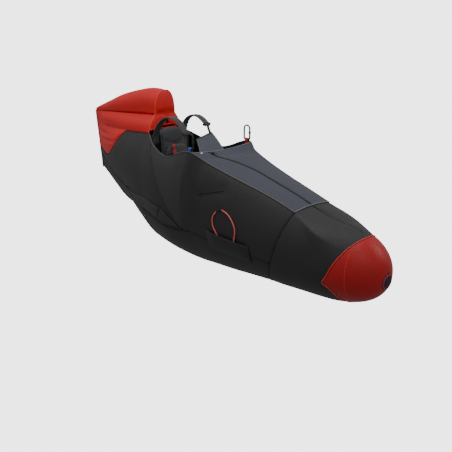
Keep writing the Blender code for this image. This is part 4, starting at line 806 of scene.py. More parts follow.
def panel(name, node, place, rows, columns, look, puff, rumple, wrap=False, rests=()):
    """A sewn cloth panel over the body: place(u, v) gives (x, a). It swells between its seams."""

    def pair(u, v):
        x, a = place(u, v)
        edge = swell(u, 10) * (1.0 if wrap else swell(v, 10))
        middle = swell(u, 4) * (1.0 if wrap else swell(v, 4))
        lift = puff * middle + 0.0012 * edge - 0.0008 + rumple(x, a, u, v) * edge
        return hull(x, a, -lift), hull(x, a, CLOTH - 0.6 * lift)

    ring = [j / columns for j in range(columns)] if wrap else shares(columns)
    outer, inner = two_grids(shares(rows), ring, pair)
    made = finish_piece(name, grid_mesh(outer, inner, wrap), look, node)
    declare_sheet([row + [row[0]] for row in outer] if wrap else outer)
    return made


def tube_mesh(path, radius, sides, closed=False):
    """A round cord along path."""
    count = len(path)
    rings = []
    side_way = Vector((0, 0, 1))
    for i, place in enumerate(path):
        after = path[(i + 1) % count] if closed else path[min(i + 1, count - 1)]
        before = path[i - 1] if closed else path[max(i - 1, 0)]
        ahead = (after - before).normalized()
        side_way = (side_way - ahead * side_way.dot(ahead)).normalized()
        rings.append(circle(place, side_way, ahead.cross(side_way), radius, sides))
    return ring_mesh(rings, closed)


def cord(name, path, radius, look, sides=6, **how):
    return finish_piece(name, tube_mesh(path, radius, sides), look, **how)


def piping(name, places, radius, look, lift=0.0005):
    """A thin cord sewn along a line of (x, a) places on the body."""
    return cord(name, [hull(x, a, -lift) for x, a in places], radius, look)


def smooth_path(points, count):
    """A curve of count points that passes through the given ones."""
    points = [Vector(p) for p in points]
    ends = [points[0] * 2 - points[1], *points, points[-1] * 2 - points[-2]]
    read = []
    for share in shares(count):
        place = share * (len(points) - 1)
        i = min(int(place), len(points) - 2)
        t = place - i
        p0, p1, p2, p3 = ends[i : i + 4]
        curve = 2 * p1 + (p2 - p0) * t + (2 * p0 - 5 * p1 + 4 * p2 - p3) * t**2
        read.append((curve + (3 * p1 - p0 - 3 * p2 + p3) * t**3) / 2)
    return read


def ribbon_mesh(path, across, width, thick, rounding=0.3):
    """A flat strap with soft edges along path."""
    across = Vector(across).normalized()
    profile = []
    for j in range(16):
        turn = 2 * math.pi * j / 16
        c, s = math.cos(turn), math.sin(turn)
        wide = math.copysign(abs(c) ** rounding, c) * width / 2
        profile.append((wide, math.copysign(abs(s) ** 0.6, s) * thick / 2))
    rings = []
    for i, place in enumerate(path):
        ahead = path[min(i + 1, len(path) - 1)] - path[max(i - 1, 0)]
        normal = ahead.cross(across).normalized()
        rings.append([place + across * p + normal * q for p, q in profile])
    return ring_mesh(rings)


# Tail

TAIL_END_X = FAIRING_X - 0.0004  # where the tail's red panels end in front
SHARE_PLAY = 0.0006  # gap between neighbouring panels, as a share of the half section
PANEL_PLAY = 0.0005  # the same along the body
FLANK_SPLIT = 0.7  # share of the flank panel's rows behind the fairing's front
# Short creases that run forward from the trailing edge: share of the section there, slope, and where they end
TAIL_CREASES = ((0.381, -0.09, -0.86), (0.440, -0.15, -0.77))
FRONT_RINGS = (1.0, 0.985, 0.95, 0.90, 0.84, 0.76, 0.68, 0.60, 0.50, 0.40, 0.30, 0.20, 0.1)


def soft_noise(x, a, scale, seed=0.0):
    place = hull(x, a)
    return noise.noise(Vector((place.x * scale + seed, place.y * scale, place.z * scale)))


def lobe(share):
    return math.sin(math.pi * min(1.0, max(0.0, share)))


def tail_rumple(x, a, u, v):
    """Cloth drawn together towards the trailing edge, with soft unevenness further forward."""
    gather = max(0.0, 1 - tail_share(x) / 0.30) * min(1.0, tail_share(x) / 0.04)
    fan = math.sin(64 * abs(a) + 4 * noise.noise(Vector((x * 9, a * 7, 0))))
    return 0.0026 * gather * fan + 0.0016 * soft_noise(x, a, 7.0)


def crown_rumple(x, a, u, v):
    """The hump is blown up, and undercuts towards the crease on both sides."""
    share = abs(a) / CREASE_A
    return 0.013 * smoothstep(tail_share(x) / 0.6) * lobe(share**2.2) + 0.6 * tail_rumple(x, a, u, v)


def collar_rumple(x, a, u, v):
    """Two air chambers, one over the other, that meet along the shoulder line."""
    place = abs(a)
    if place < RIDGE_A:
        fade = smoothstep(tail_share(x) / 0.25)
        swelling = 0.011 * fade * lobe((place - CREASE_A) / (RIDGE_A - CREASE_A)) ** 0.8
    else:
        room = red_edge_a(x) - RIDGE_A
        swelling = 0.007 * min(1.0, room / 0.08) * lobe((place - RIDGE_A) / max(room, 1e-3))
        for start, slope, end in TAIL_CREASES:
            line = start + slope * (x - TAIL_X)
            swelling -= 0.0075 * smoothstep((end - x) / 0.12) * bell(place - line, 0.011)
    return swelling + tail_rumple(x, a, u, v)


def flank_rumple(x, a, u, v):
    return 0.0035 * soft_noise(x, a, 5.0, 1.0) + 0.5 * tail_rumple(x, a, u, v)


def build_tail():
    def crown(u, v):
        return lerp(TAIL_X, TAIL_END_X, u), lerp(-CREASE_A, CREASE_A, v) * 0.998

    collars = ("fairing_collar_right", "fairing_collar_left")
    panel("crown_cloth", "fairing_crown", crown, 70, 49, "red", 0.001, crown_rumple, rests=collars)
    for side, word in SIDES:
        build_tail_side(side, word)
    build_fairing_front()
    edge = [hull(TAIL_X, a) for a in (CREASE_A, RIDGE_A, side_a(0.2), side_a(0.4), side_a(0.6), 1.0)]
    path = smooth_path([(p.x - 0.005, 0.0, p.z) for p in edge], 40)
    mesh = ribbon_mesh(path, (0, 1, 0), 0.0115, 0.0095, 0.7)
    finish_piece("tail_binding_tape", mesh, "black", "tail_edge_binding")


def build_tail_side(side, word):
    """Red collar, black flank and seams on one side of the tail, with dark red cords of painted shade."""

    def collar(u, v):
        x = lerp(TAIL_X, TAIL_END_X, u)
        low = red_edge_a(x) - SHARE_PLAY
        fold = min(RIDGE_A, low)
        if v < 0.5:
            return x, side * lerp(CREASE_A * 1.004, fold, 2 * v)
        return x, side * lerp(fold, low, 2 * v - 1)

    def flank_place(u, v):
        a_low = side_a(CHINE_T) - SHARE_PLAY
        if u < FLANK_SPLIT:
            x = lerp(TAIL_X, FAIRING_X, u / FLANK_SPLIT)
            return x, side * lerp(red_edge_a(x) + SHARE_PLAY, a_low, v)
        a = lerp(RIDGE_A + SHARE_PLAY, a_low, v)
        return lerp(FAIRING_X, rear_seam_x(a) - PANEL_PLAY, (u - FLANK_SPLIT) / (1 - FLANK_SPLIT)), side * a

    panel(f"collar_cloth_{word}", f"fairing_collar_{word}", collar, 70, 45, "red", 0.001, collar_rumple)
    panel(f"flank_cloth_{word}", f"tail_flank_{word}", flank_place, 71, 29, "black", 0.003, flank_rumple)
    edge = [(x, side * red_edge_a(x)) for x in (lerp(TAIL_X, FAIRING_X, s) for s in shares(60))]
    piping(f"red_edge_seam_{word}", edge, 0.0009, "black")
    # Dark red cord in the seam under the hump: a real seam, its darkness painted shade
    crease = [(lerp(TAIL_X, FAIRING_X, s), side * CREASE_A) for s in shares(50)]
    piping(f"crease_seam_painted_shade_{word}", crease, 0.0011, "red_painted_shade", 0.0)
    # Dark red cord along the fold between the collar's two chambers: painted shade in the fold
    fold = [(lerp(TAIL_X, RED_KINK_X, s), side * RIDGE_A) for s in shares(40)]
    piping(f"shoulder_fold_painted_shade_{word}", fold, 0.0009, "red_painted_shade", 0.0)
    corner = [(FAIRING_X - 0.001, side * lerp(0.02, RIDGE_A, s)) for s in shares(40)]
    piping(f"fairing_corner_{word}", corner, 0.0022, "pink_seam_and_highlight", 0.0014)


def build_fairing_front():
    """The red face behind the pilot's neck: two blown-up chambers, like the hump and collar they close."""
    foot = SHOULDER_Z + 0.016
    outline = [hull(FAIRING_X - 0.0008, lerp(-RIDGE_A, RIDGE_A, s)) for s in shares(60)]
    centre = Vector((FAIRING_X, 0.0, lerp(foot, CREASE_Z, 0.4)))

    def pair(scale, place):
        point = centre + (Vector((centre.x, place.y, max(place.z, foot))) - centre) * scale
        waist = bell(point.z - CREASE_Z - 0.005, 0.013) * min(1.0, 6 * (1 - scale))
        bulge = 0.0032 + 0.0150 * (1 - scale**5) - 0.0075 * waist
        bulge += 0.0012 * noise.noise(point * 16.0) * (1 - scale**6)
        point.x += bulge
        return point, point - Vector((CLOTH, 0, 0))

    rings, back = two_grids(FRONT_RINGS, outline, pair)
    mesh = grid_mesh(rings, back, True)
    close_rim(mesh, len(outline))
    made = finish_piece("fairing_front_cloth", mesh, "red", "fairing_front")
    spans = [max(p[i] for p in rings[0]) - min(p[i] for p in rings[0]) for i in (1, 2)]
    face = sum(strip_area(ring, inside) for ring, inside in zip(rings, rings[1:]))


def close_rim(mesh, count):
    shape = bmesh.new()
    shape.from_mesh(mesh)
    bmesh.ops.holes_fill(shape, edges=shape.edges, sides=count + 2)
    shape.to_mesh(mesh)
    shape.free()


# Pod

SNAP_Y = 0.177  # press stud's place across the leg cover
SNAP_PROFILE = ((0.0066, -0.002), (0.0066, 0.0008), (0.0056, 0.0018), (0.0034, 0.0022), (0.0022, 0.0014))
SIDE_SPLIT = 0.3  # share of the side panel's rows behind the seam under the hang loop
SIDE_ROWS, SIDE_COLUMNS = 101, 44
PANEL_RISE = 0.0034  # how far a panel's middle stands out of the body
# The ballast pocket's upper and lower seams: (x, share of the way from ridge to belly)
POCKET_TOP = ((-0.671, 0.470), (-0.349, 0.378), (-0.215, 0.360))
POCKET_FOOT = ((-0.452, 0.490), (-0.260, 0.459), (-0.062, 0.486))
POCKET_TOP_X = (-0.640, -0.215)
POCKET_FOOT_X = (-0.452, -0.080)
CAP_SEAM_X = 0.954
split_x = long_line((0.0, -0.008), (0.05, -0.014), (0.20, -0.040), (0.50, -0.058))


def pocket_flat(x, a):
    """1 along the side pocket's zip on the right, where the cloth lies flat, and 0 away from it."""
    share = (x - POCKET_ZIP_X[0]) / (POCKET_ZIP_X[1] - POCKET_ZIP_X[0])
    if a > 0 or not -0.4 < share < 1.4:
        return 0.0
    line = side_a(lerp(*POCKET_ZIP_T, min(1.0, max(0.0, share))))
    return bell(-a - line, 0.030) * smoothstep(min(share + 0.4, 1.4 - share) / 0.4)


def side_rumple(x, a, u, v):
    """Slow unevenness, and folds that run down from the hang loop where the cloth carries the load."""
    pull = bell(x - 0.02, 0.10) * max(0.0, 1 - v * 1.5)
    fan = math.sin(60 * (x + 0.15 * v))
    flat = pocket_flat(x, a)
    return (0.0036 * soft_noise(x, a, 4.5, 3.0) + 0.0016 * pull * fan) * (1 - flat) - 0.0032 * flat


def belly_rumple(x, a, u, v):
    return 0.0034 * soft_noise(x, a, 5.0, 9.0)


def cover_rumple(x, a, u, v):
    """Stretch cloth, drawn in long shallow folds from the hang loop towards the zip."""
    draw = math.exp(-max(0.0, x) / 0.20) * math.sin(26 * v + 6 * u)
    return 0.0016 * soft_noise(x, a, 6.0, 5.0) + 0.0010 * draw


def nose_fill(x, a):
    """Height of the cloth that is drawn straight over the hollow between the leg cover and the cap."""
    first, last = front_seam_x(a), cap_edge_x(a)
    if not first < x < last:
        return 0.0
    chord = lerp(hull(first, a).z, hull(last, a).z, (x - first) / (last - first))
    return max(0.0, chord - hull(x, a).z) * smoothstep((1.9 * RIDGE_A - abs(a)) / (0.6 * RIDGE_A))


def nose_rumple(x, a, u, v):
    return 0.0020 * soft_noise(x, a, 6.0, 7.0) + nose_fill(x, a)


def flank_height(x, a):
    """How far the sewn panels stand out of the body here."""
    if abs(a) > side_a(CHINE_T):
        return PANEL_RISE + belly_rumple(x, a, 0, 0)
    if x < rear_seam_x(abs(a)):
        return PANEL_RISE + flank_rumple(x, a, 0, 0)
    return PANEL_RISE + side_rumple(x, a, 0, 1)


def build_side(side, word):
    """One side panel, lighter behind the seam under the hang loop, and its half of the leg cover."""

    def side_place(u, v):
        a = lerp(RIDGE_A + SHARE_PLAY, side_a(CHINE_T) - SHARE_PLAY, v)
        rear, front = rear_seam_x(a) + PANEL_PLAY, front_seam_x(a) - PANEL_PLAY
        middle = max(split_x(CHINE_T * v), rear + 0.004)
        if u < SIDE_SPLIT:
            return lerp(rear, middle, u / SIDE_SPLIT), side * a
        return lerp(middle, front, (u - SIDE_SPLIT) / (1 - SIDE_SPLIT)), side * a

    def cover_place(u, v):
        x = lerp(COVER_X, FRONT_SEAM_X - 0.0006, u)
        split = zip_y(x) / ridge_half(x) + side * SHARE_PLAY
        return x, RIDGE_A * lerp(side * 0.998, split, v)

    size = (SIDE_ROWS, SIDE_COLUMNS)
    made = panel(f"side_cloth_{word}", f"pod_side_{word}", side_place, *size, "black", 0.003, side_rumple)
    made.data.materials.append(LOOKS["black_light"])
    for face in made.data.polygons:
        if face.index < 2 * (SIDE_COLUMNS - 1) * SIDE_SPLIT * (SIDE_ROWS - 1):
            face.material_index = 1
    panel(f"cover_cloth_{word}", f"leg_cover_{word}", cover_place, 80, 30, "grey", 0.0015, cover_rumple)


def build_side_seams(side, word):
    chine_a = side_a(CHINE_T)
    hem = [(lerp(COVER_X, FRONT_SEAM_X, s), side * RIDGE_A) for s in shares(60)]
    piping(f"ridge_hem_{word}", hem, 0.0026, "hem", 0.0018 if side < 0 else 0.0004)
    rim = [(lerp(FAIRING_X + 0.002, COVER_X, s), side * (RIDGE_A + 0.001)) for s in shares(60)]
    piping(f"rim_binding_{word}", rim, 0.0034, "rim", 0.0)
    rear = [(rear_seam_x(a), side * a) for a in (side_a(CHINE_T * s) for s in shares(40))]
    piping(f"rear_side_seam_{word}", rear, 0.0011, "grey_seam")
    chine = [(lerp(TAIL_X, front_seam_x(chine_a), s), side * chine_a) for s in shares(90)]
    piping(f"chine_seam_{word}", chine, 0.0015, "black", 0.0008)
    build_ballast_pocket(side, word)
    front = [(front_seam_x(side_a(s)), side * side_a(s)) for s in shares(60)]
    piping(f"front_seam_{word}", front, 0.0010, "grey_seam")


def build_ballast_pocket(side, word):
    """A shallow pocket low on the flank, its two seams and its tab."""
    name = f"ballast_pocket_{word}"
    top, foot = long_line(*POCKET_TOP), long_line(*POCKET_FOOT)

    def pair(u, v):
        top_x, foot_x = lerp(*POCKET_TOP_X, u), lerp(*POCKET_FOOT_X, u)
        x, a = lerp(top_x, foot_x, v), side * side_a(lerp(top(top_x), foot(foot_x), v))
        height = flank_height(x, a)
        rise = 0.0012 + 0.0060 * (swell(u, 4) * swell(v, 4)) ** 0.6
        return hull(x, a, -height - rise), hull(x, a, -height + 0.0012)

    def sewn_cord(part, places, radius, lift):
        path = [hull(x, a, -flank_height(x, a) - lift) for x, a in places]
        cord(f"{name}_{part}", path, radius, "dark_seam")

    outer, inner = two_grids(shares(50), shares(14), pair)
    made = finish_piece(name, grid_mesh(outer, inner), "black_light")
    declare_sheet(outer)
    for part, points, line in (("top", POCKET_TOP, top), ("foot", POCKET_FOOT, foot)):
        xs = [lerp(points[0][0], points[-1][0], s) for s in shares(50)]
        sewn_cord(part, [(x, side * side_a(line(x))) for x in xs], 0.0024, 0.0006)
    tab = [(lerp(-0.232, -0.262, s), side * side_a(lerp(0.366, 0.455, s))) for s in shares(12)]
    sewn_cord("tab", tab, 0.0030, 0.0062)


def build_pod():
    for side, word in SIDES:
        build_side(side, word)
        build_side_seams(side, word)
    across = [(FRONT_SEAM_X, lerp(-RIDGE_A, RIDGE_A, s)) for s in shares(30)]
    piping("front_seam_top", across, 0.0030, "cover_seam", 0.0022)
    rear = [(COVER_X - 0.001, lerp(-RIDGE_A, RIDGE_A, s)) for s in shares(40)]
    piping("cover_rear_hem", rear, 0.0028, "cover_seam", 0.0)

    def belly_place(u, v):
        low = side_a(CHINE_T) + SHARE_PLAY
        a = lerp(-low, -1.0, 2 * v) if v <= 0.5 else lerp(1.0, low, 2 * v - 1)
        return lerp(TAIL_X, front_seam_x(a) - PANEL_PLAY, u), a

    panel("belly_cloth", "belly", belly_place, 120, 61, "black", 0.003, belly_rumple)
    build_nose()


def build_nose():
    def section_a(v):
        """Once round the section, from the belly's centre line up the right side and back down the left."""
        return lerp(-1.0, 1.0, v) if abs(v - 0.5) > 1e-6 else 1e-6

    def nose_place(u, v):
        a = section_a(v)
        return lerp(front_seam_x(a) + PANEL_PLAY, cap_edge_x(a) - PANEL_PLAY, u), a

    def cap_place(u, v):
        a = section_a(v)
        edge = cap_edge_x(a) + PANEL_PLAY
        span = NOSE_X - NOSE_BASE_X
        start = math.asin((edge - NOSE_BASE_X) / span) if edge > NOSE_BASE_X else 0.0
        if u == 0.0:
            return edge, a
        first = max(edge, NOSE_BASE_X + span * math.sin(lerp(start, math.pi / 2, u)))
        return min(first, NOSE_X - 1e-5), a

    panel("nose_cloth", "nose_section", nose_place, 54, 120, "black", 0.002, nose_rumple, True)
    cap = panel("nose_cap_cloth", "nose_cap", cap_place, 54, 120, "nose_red", 0.002, nose_rumple, True)
    cut_intake(cap)
    # Cord on the cap's seam, bright red as a painted highlight along that edge
    edge = [(cap_edge_x(a), a) for a in (lerp(-1.0, 1.0, s) for s in shares(140)) if a]
    piping("cap_seam_painted_highlight", edge, 0.0017, "pink_seam_and_highlight", 0.0016)
    for side, word in SIDES:
        seam = [(CAP_SEAM_X, side * side_a(lerp(0.02, 0.62, s))) for s in shares(24)]
        piping(f"cap_panel_seam_{word}", seam, 0.0008, "pink_seam_and_highlight", 0.0024)


def cut_intake(cap):
    """The round intake hole in the cap."""
    centre, axis = intake_frame()
    across = Vector((0, 1, 0))
    other = axis.cross(across)
    rings = [circle(centre + axis * reach, across, other, INTAKE_R, 40) for reach in (-0.03, 0.03)]
    cutter = add_object("intake_cutter", ring_mesh(rings))
    change = cap.modifiers.new("intake", "BOOLEAN")
    change.solver = "EXACT"
    change.object = cutter
    bpy.context.view_layer.update()
    graph = bpy.context.evaluated_depsgraph_get()
    mesh = bpy.data.meshes.new_from_object(cap.evaluated_get(graph))
    cap.modifiers.clear()
    cap.data = mesh
    bpy.data.objects.remove(cutter)


# Zips, handle and flaps

TAPE_HALF = 0.0062  # half width of the leg zip's tape
TAPE_HEIGHTS = (0.0030, 0.0012)  # its face and back over the body
TOOTH_HEIGHT = 0.0027  # middle of the zip's teeth over the body
TOOTH_HALVES = (0.0009, 0.0021, 0.0009)
TOOTH_OFFSET = 0.0012
TOOTH_PITCH = 0.0026
LAP_GRID = 36  # rows and columns of the lap flap


def build_snap():
    """The pale press stud at the leg cover's near corner."""
    place = (COVER_X + 0.010, -RIDGE_A * SNAP_Y / ridge_half(COVER_X))
    centre, above = hull(*place, -0.0030), hull(*place, -0.0130)
    axis = (above - centre).normalized()
    across = axis.orthogonal().normalized()
    other = axis.cross(across)
    rings = [circle(centre + axis * rise, across, other, radius, 24) for radius, rise in SNAP_PROFILE]
    finish_piece("cover_press_stud", ring_mesh(rings), "pale_metal")


def zip_point(x, offset, height):
    place = (x, RIDGE_A * (zip_y(x) + offset) / ridge_half(x))
    return hull(*place, -height - nose_fill(*place))


def zip_stretch(x):
    """How much longer the zip is than its way along x."""
    return math.hypot(1.0, (zip_y(x + 1e-3) - zip_y(x - 1e-3)) / 2e-3)


def build_zip():
    """Tape and two rows of teeth from beside the right hang loop down to the nose cap."""

    def pair(s, p):
        x = lerp(COVER_X, ZIP_NOSE_X, s)
        return [zip_point(x, TAPE_HALF * zip_stretch(x) * p, height) for height in TAPE_HEIGHTS]

    top, under = two_grids(shares(150), (-1, -0.5, 0, 0.5, 1), pair)
    tape = finish_piece("zip_tape", grid_mesh(top, under), "zip_tape", "zip_chain")
    declare_sheet(top)
    points, faces = [], []
    x, side = COVER_X + 0.002, -1
    while x < ZIP_NOSE_X - 0.002:
        centre = zip_point(x, side * TOOTH_OFFSET * zip_stretch(x), TOOTH_HEIGHT)
        ahead = (zip_point(x + 1e-3, 0.0, TOOTH_HEIGHT) - zip_point(x - 1e-3, 0.0, TOOTH_HEIGHT)).normalized()
        across = Vector((0, 0, 1)).cross(ahead).normalized()
        axes = (ahead, across, ahead.cross(across))
        add_box(points, faces, centre, [axis * half for axis, half in zip(axes, TOOTH_HALVES)])
        x += TOOTH_PITCH / zip_stretch(x)
        side = -side
    finish_piece("zip_teeth", mesh_of(points, faces), "zip_teeth")


def build_reserve():
    """The salmon handle with its black grip at the top, and the flap that its ends tuck into."""
    lift = HANDLE_R + 0.0030
    path = smooth_path([hull(x, -section_share_at(x, z), -lift) for x, z in handle_points()], 72)
    how = {"sides": 10, "body": "reserve_handle"}
    cord("reserve_handle_rear", path[:30], HANDLE_R, "handle", node="reserve_handle", **how)
    cord("reserve_handle_front", path[33:], HANDLE_R, "handle", **how)
    cord("reserve_handle_grip", path[28:35], HANDLE_R * 1.12, "web", **how)

    def pair(u, v):
        x, a = lerp(*FLAP_X, u), -side_a(lerp(*FLAP_T, v))
        room = 0.0022 + FLAP_POCKET * (1 - v**2) * min(1.0, 6 * u, 6 * (1 - u))
        room += 0.0010 * soft_noise(x, a, 14.0, 2.0)
        return hull(x, a, -room - 0.0018), hull(x, a, -room)

    outer, inner = two_grids(shares(40), shares(22), pair)
    flap = finish_piece("reserve_flap_cloth", grid_mesh(outer, inner), "black", "reserve_flap")
    declare_sheet(outer)


def build_side_pocket():
    """The pocket's slit, a thin dark line with its tape."""
    places = [(lerp(*POCKET_ZIP_X, s), -side_a(lerp(*POCKET_ZIP_T, s))) for s in shares(40)]
    path = [hull(x, a, -0.0036) for x, a in places]
    cord("pocket_zip", path, 0.0024, "zip_tape", 8, node="side_pocket_zip")


def build_belly_flap():
    """The grey flap over the lap, its two hems and the dark band at its top."""
    corners = [Vector((FLAP_TOP_X, y, z)) for y, z in zip(FLAP_TOP_Y, (FLAP_TOP_Z, FLAP_TIP_Z))]

    def pair(u, v):
        y = lerp(*FLAP_FOOT_Y, v)
        foot = hull(COVER_X, RIDGE_A * y / ridge_half(COVER_X)) - Vector((0.0004, 0, 0))
        place = lerp(foot, lerp(*corners, v), u)
        place.z += 0.012 * math.sin(math.pi * u) * (1 - 0.5 * (2 * v - 1) ** 2)
        place.z += 0.0012 * swell(u) * swell(v) * math.sin(9 * v + 4 * u)
        return place, place - Vector((0, 0, 0.0026))

    outer, inner = two_grids(shares(LAP_GRID), shares(LAP_GRID), pair)
    made = finish_piece("lap_flap_cloth", grid_mesh(outer, inner), "grey", "belly_flap")
    declare_sheet(outer)
    for word, column in (("right", 0), ("left", -1)):
        edge = [row[column] - Vector((0, 0, 0.0013)) for row in outer]
        cord(f"lap_flap_hem_{word}", edge, 0.0018, "cover_seam")
    band = [[p + Vector((0, 0, 0.0007)) for p in row] for row in outer[-5:]]
    below = [[p - Vector((0, 0, 0.0012)) for p in row] for row in band]
    finish_piece("lap_flap_band", grid_mesh(band, below), "web")


# Seat, straps and hardware

PAD_GRID = 49  # rows and columns of a cushion
BACK_CHANNELS = (-0.72, -0.42, -0.12, 0.62)
LUMBAR_CHANNELS = (-0.3, 0.35)
TONGUE_GRIP = 0.030  # how much of the tongue sits in its housing
CHEST_RUN = ((-0.105, -0.150, 0.000), (-0.060, -0.180, -0.050))  # way of the right chest webbing
FLAP_STRAP = (-0.201, 0.050)  # bend of the left one over the lap flap
LINE_HEIGHTS = (-0.28, -0.20, -0.13)  # where the speed lines run up beside the risers
TACK_HALVES = (0.0080, 0.0004, 0.00032)  # one row of stitching on a hang loop
TACK_ROWS = 7


def back_point(up_by, y, out_by):
    up, across, out = back_axes()
    return back_foot() + up * up_by + across * y + out * out_by


def pad(name, node, run, halves, base, thick, channels, look, corner=0.0):
    """A crowned cushion with sewn channels, drawn in at its sides, and piping round its edge. run is where it
    starts up the back and its height, halves its half width there and at its top."""
    start, height = run

    def pair(s, q):
        p, v = 2 * q - 1, 2 * s - 1
        fullness = ((1 - p**4) * (1 - v**4)) ** 0.35
        groove = sum(bell(v - line - 0.16 * (p * p), 0.045) for line in channels)
        y = lerp(*halves, s) * p * (1 - 0.03 * (1 - v * v)) * (1 - corner * max(0.0, v) ** 4)
        up_by = start + height * s + 0.02 * height * (1 - p * p) * max(0.0, v)
        place = back_point(up_by, y, base)
        soft = 0.0022 * noise.noise(place * 22.0) * fullness
        out_by = base + thick * (0.3 + 0.7 * fullness) - 0.006 * groove * fullness + soft
        return back_point(up_by, y, out_by), place

    front, rear = two_grids(shares(PAD_GRID), shares(PAD_GRID), pair)
    made = finish_piece(name, grid_mesh(front, rear), look, node)
    rim = front[0] + [row[-1] for row in front[1:]] + list(reversed(front[-1]))[1:]
    rim += [row[0] for row in list(reversed(front))[1:-1]]
    finish_piece(name + "_piping", tube_mesh(rim, 0.0020, 6, True), "pad_edge")


def build_seat():
    run = (BACK_START, (Vector((BACK_TOP[0], 0, BACK_TOP[1])) - back_foot()).length - BACK_START)
    halves = (BACK_HALF_LOW, BACK_HALF_TOP)
    pad("back_cushion", "backrest", run, halves, 0.0, BACK_THICK, BACK_CHANNELS, "lining")
    run, halves = (LUMBAR_START, LUMBAR_HEIGHT), (LUMBAR_HALF, LUMBAR_HALF * 0.9)
    base = BACK_THICK + SEAM
    pad("lumbar_cushion", "lumbar_pad", run, halves, base, LUMBAR_THICK, LUMBAR_CHANNELS, "pad", 0.4)
    build_blocks()


def block(name, node, x_range, top_z, half_limit, crown, look):
    """A soft block in the bottom of the body, with a crowned top and rounded ends."""
    depth = WALL + BLOCK_PLAY
    sections = []
    for s in shares(33):
        x = lerp(*x_range, s)
        level = top_z(x)
        drop = 0.35 * crown * (1 - swell(s, 12))
        first = bisect(lambda t: hull(x, side_a(t), depth).z > level - drop, 0.0, 1.0)
        right = []
        for share in shares(20):
            place = hull(x, -side_a(lerp(first, 1.0, share)), depth + 0.4 * drop)
            right.append(Vector((x, max(place.y, -half_limit), place.z)))
        left = [Vector((p.x, -p.y, p.z)) for p in reversed(right[:-1])]
        lid = []
        for share in shares(21)[1:-1]:
            p = 2 * share - 1
            sag = crown * (1 - swell(s, 6) * (1 - p**4)) + 0.003 * noise.noise(Vector((x * 14, p * 3, 1.0)))
            lid.append(Vector((x, p * right[0].y, level - max(0.0, sag))))
        sections.append(right + left + lid)
    finish_piece(name, ring_mesh(sections), look, node)


def build_blocks():
    """Foam protector under the seat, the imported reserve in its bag, and the cloth wall behind the back."""
    block("foam_protector", "protector_foam", PROTECTOR_X, seat_underside, SEAT_WIDTH / 2, 0.006, "foam")
    block("packed_reserve", "reserve_bag", BAG_X, lambda x: BAG_TOP_Z, 1.0, 0.014, "lining")

    def pair(s, q):
        p = 2 * q - 1
        edge = hull(BULKHEAD_X, side_a(CHINE_T * lerp(0.03, 1.0, s)), WALL + 2 * BLOCK_PLAY)
        slack = 0.002 * noise.noise(Vector((p * 2, s * 4, 3.0))) * swell(q)
        slack += 0.004 * (1 - p * p) * swell(s)
        place = Vector((BULKHEAD_X + BULKHEAD_THICK - slack, p * edge.y, edge.z))
        return place, place - Vector((0.0022, 0, 0))

    outer, inner = two_grids(shares(30), shares(30), pair)
    made = finish_piece("rear_wall_cloth", grid_mesh(outer, inner), "lining", "rear_bulkhead")
    declare_sheet(outer)


def strap(name, node, path, across, width, look="web", body="harness"):
    """Flat webbing along path, in the place of the solid that stands for it."""
    mesh = ribbon_mesh(path, across, width, WEBBING_THICK * 1.05)
    return finish_piece(name, mesh, look, node, body)


def build_straps():
    root = BULKHEAD_X + BULKHEAD_THICK + 2 * SEAM
    for side, word in SIDES:
        arch = ((root, STRAP_ROOT_Z), (root + 0.02, STRAP_ROOT_Z + 0.001), *ARCHES[word])
        path = smooth_path([(x, side * STRAP_Y, z) for x, z in arch], 80)
        mesh = ribbon_mesh(path, (0, 1, 0), STRAP_WIDTH, STRAP_THICK, 0.45)
        made = finish_piece(f"shoulder_pad_{word}", mesh, "pad", f"shoulder_strap_{word}")
        for edge, which in ((-1, "inner"), (1, "outer")):
            line = [p + Vector((0, edge * STRAP_WIDTH * 0.47, 0)) for p in path]
            cord(f"strap_piping_{which}_{word}", line, 0.0018, "pad_edge")
        start = path[-1] + (path[-1] - path[-2]).normalized() * (3 * SEAM)
        if side < 0:
            rest = [*CHEST_RUN, (-WEBBING_WIDTH / 2 - 4 * SEAM, -riser_y(CHEST_FOOT_Z), CHEST_FOOT_Z)]
        else:
            share = (STRAP_Y - FLAP_TOP_Y[0]) / (FLAP_TOP_Y[1] - FLAP_TOP_Y[0])
            seam_z = lerp(FLAP_TOP_Z, FLAP_TIP_Z, share) - WALL / 2
            rest = [(FLAP_STRAP[0], STRAP_Y, FLAP_STRAP[1]), (FLAP_TOP_X - 5 * SEAM, STRAP_Y, seam_z)]
        run = smooth_path([start, *rest], 40)
        strap(f"chest_strap_{word}", f"chest_webbing_{word}", run, (0, 1, 0), CHEST_WEBBING)
        build_hang_loop(side, word)
    build_leg_strap()


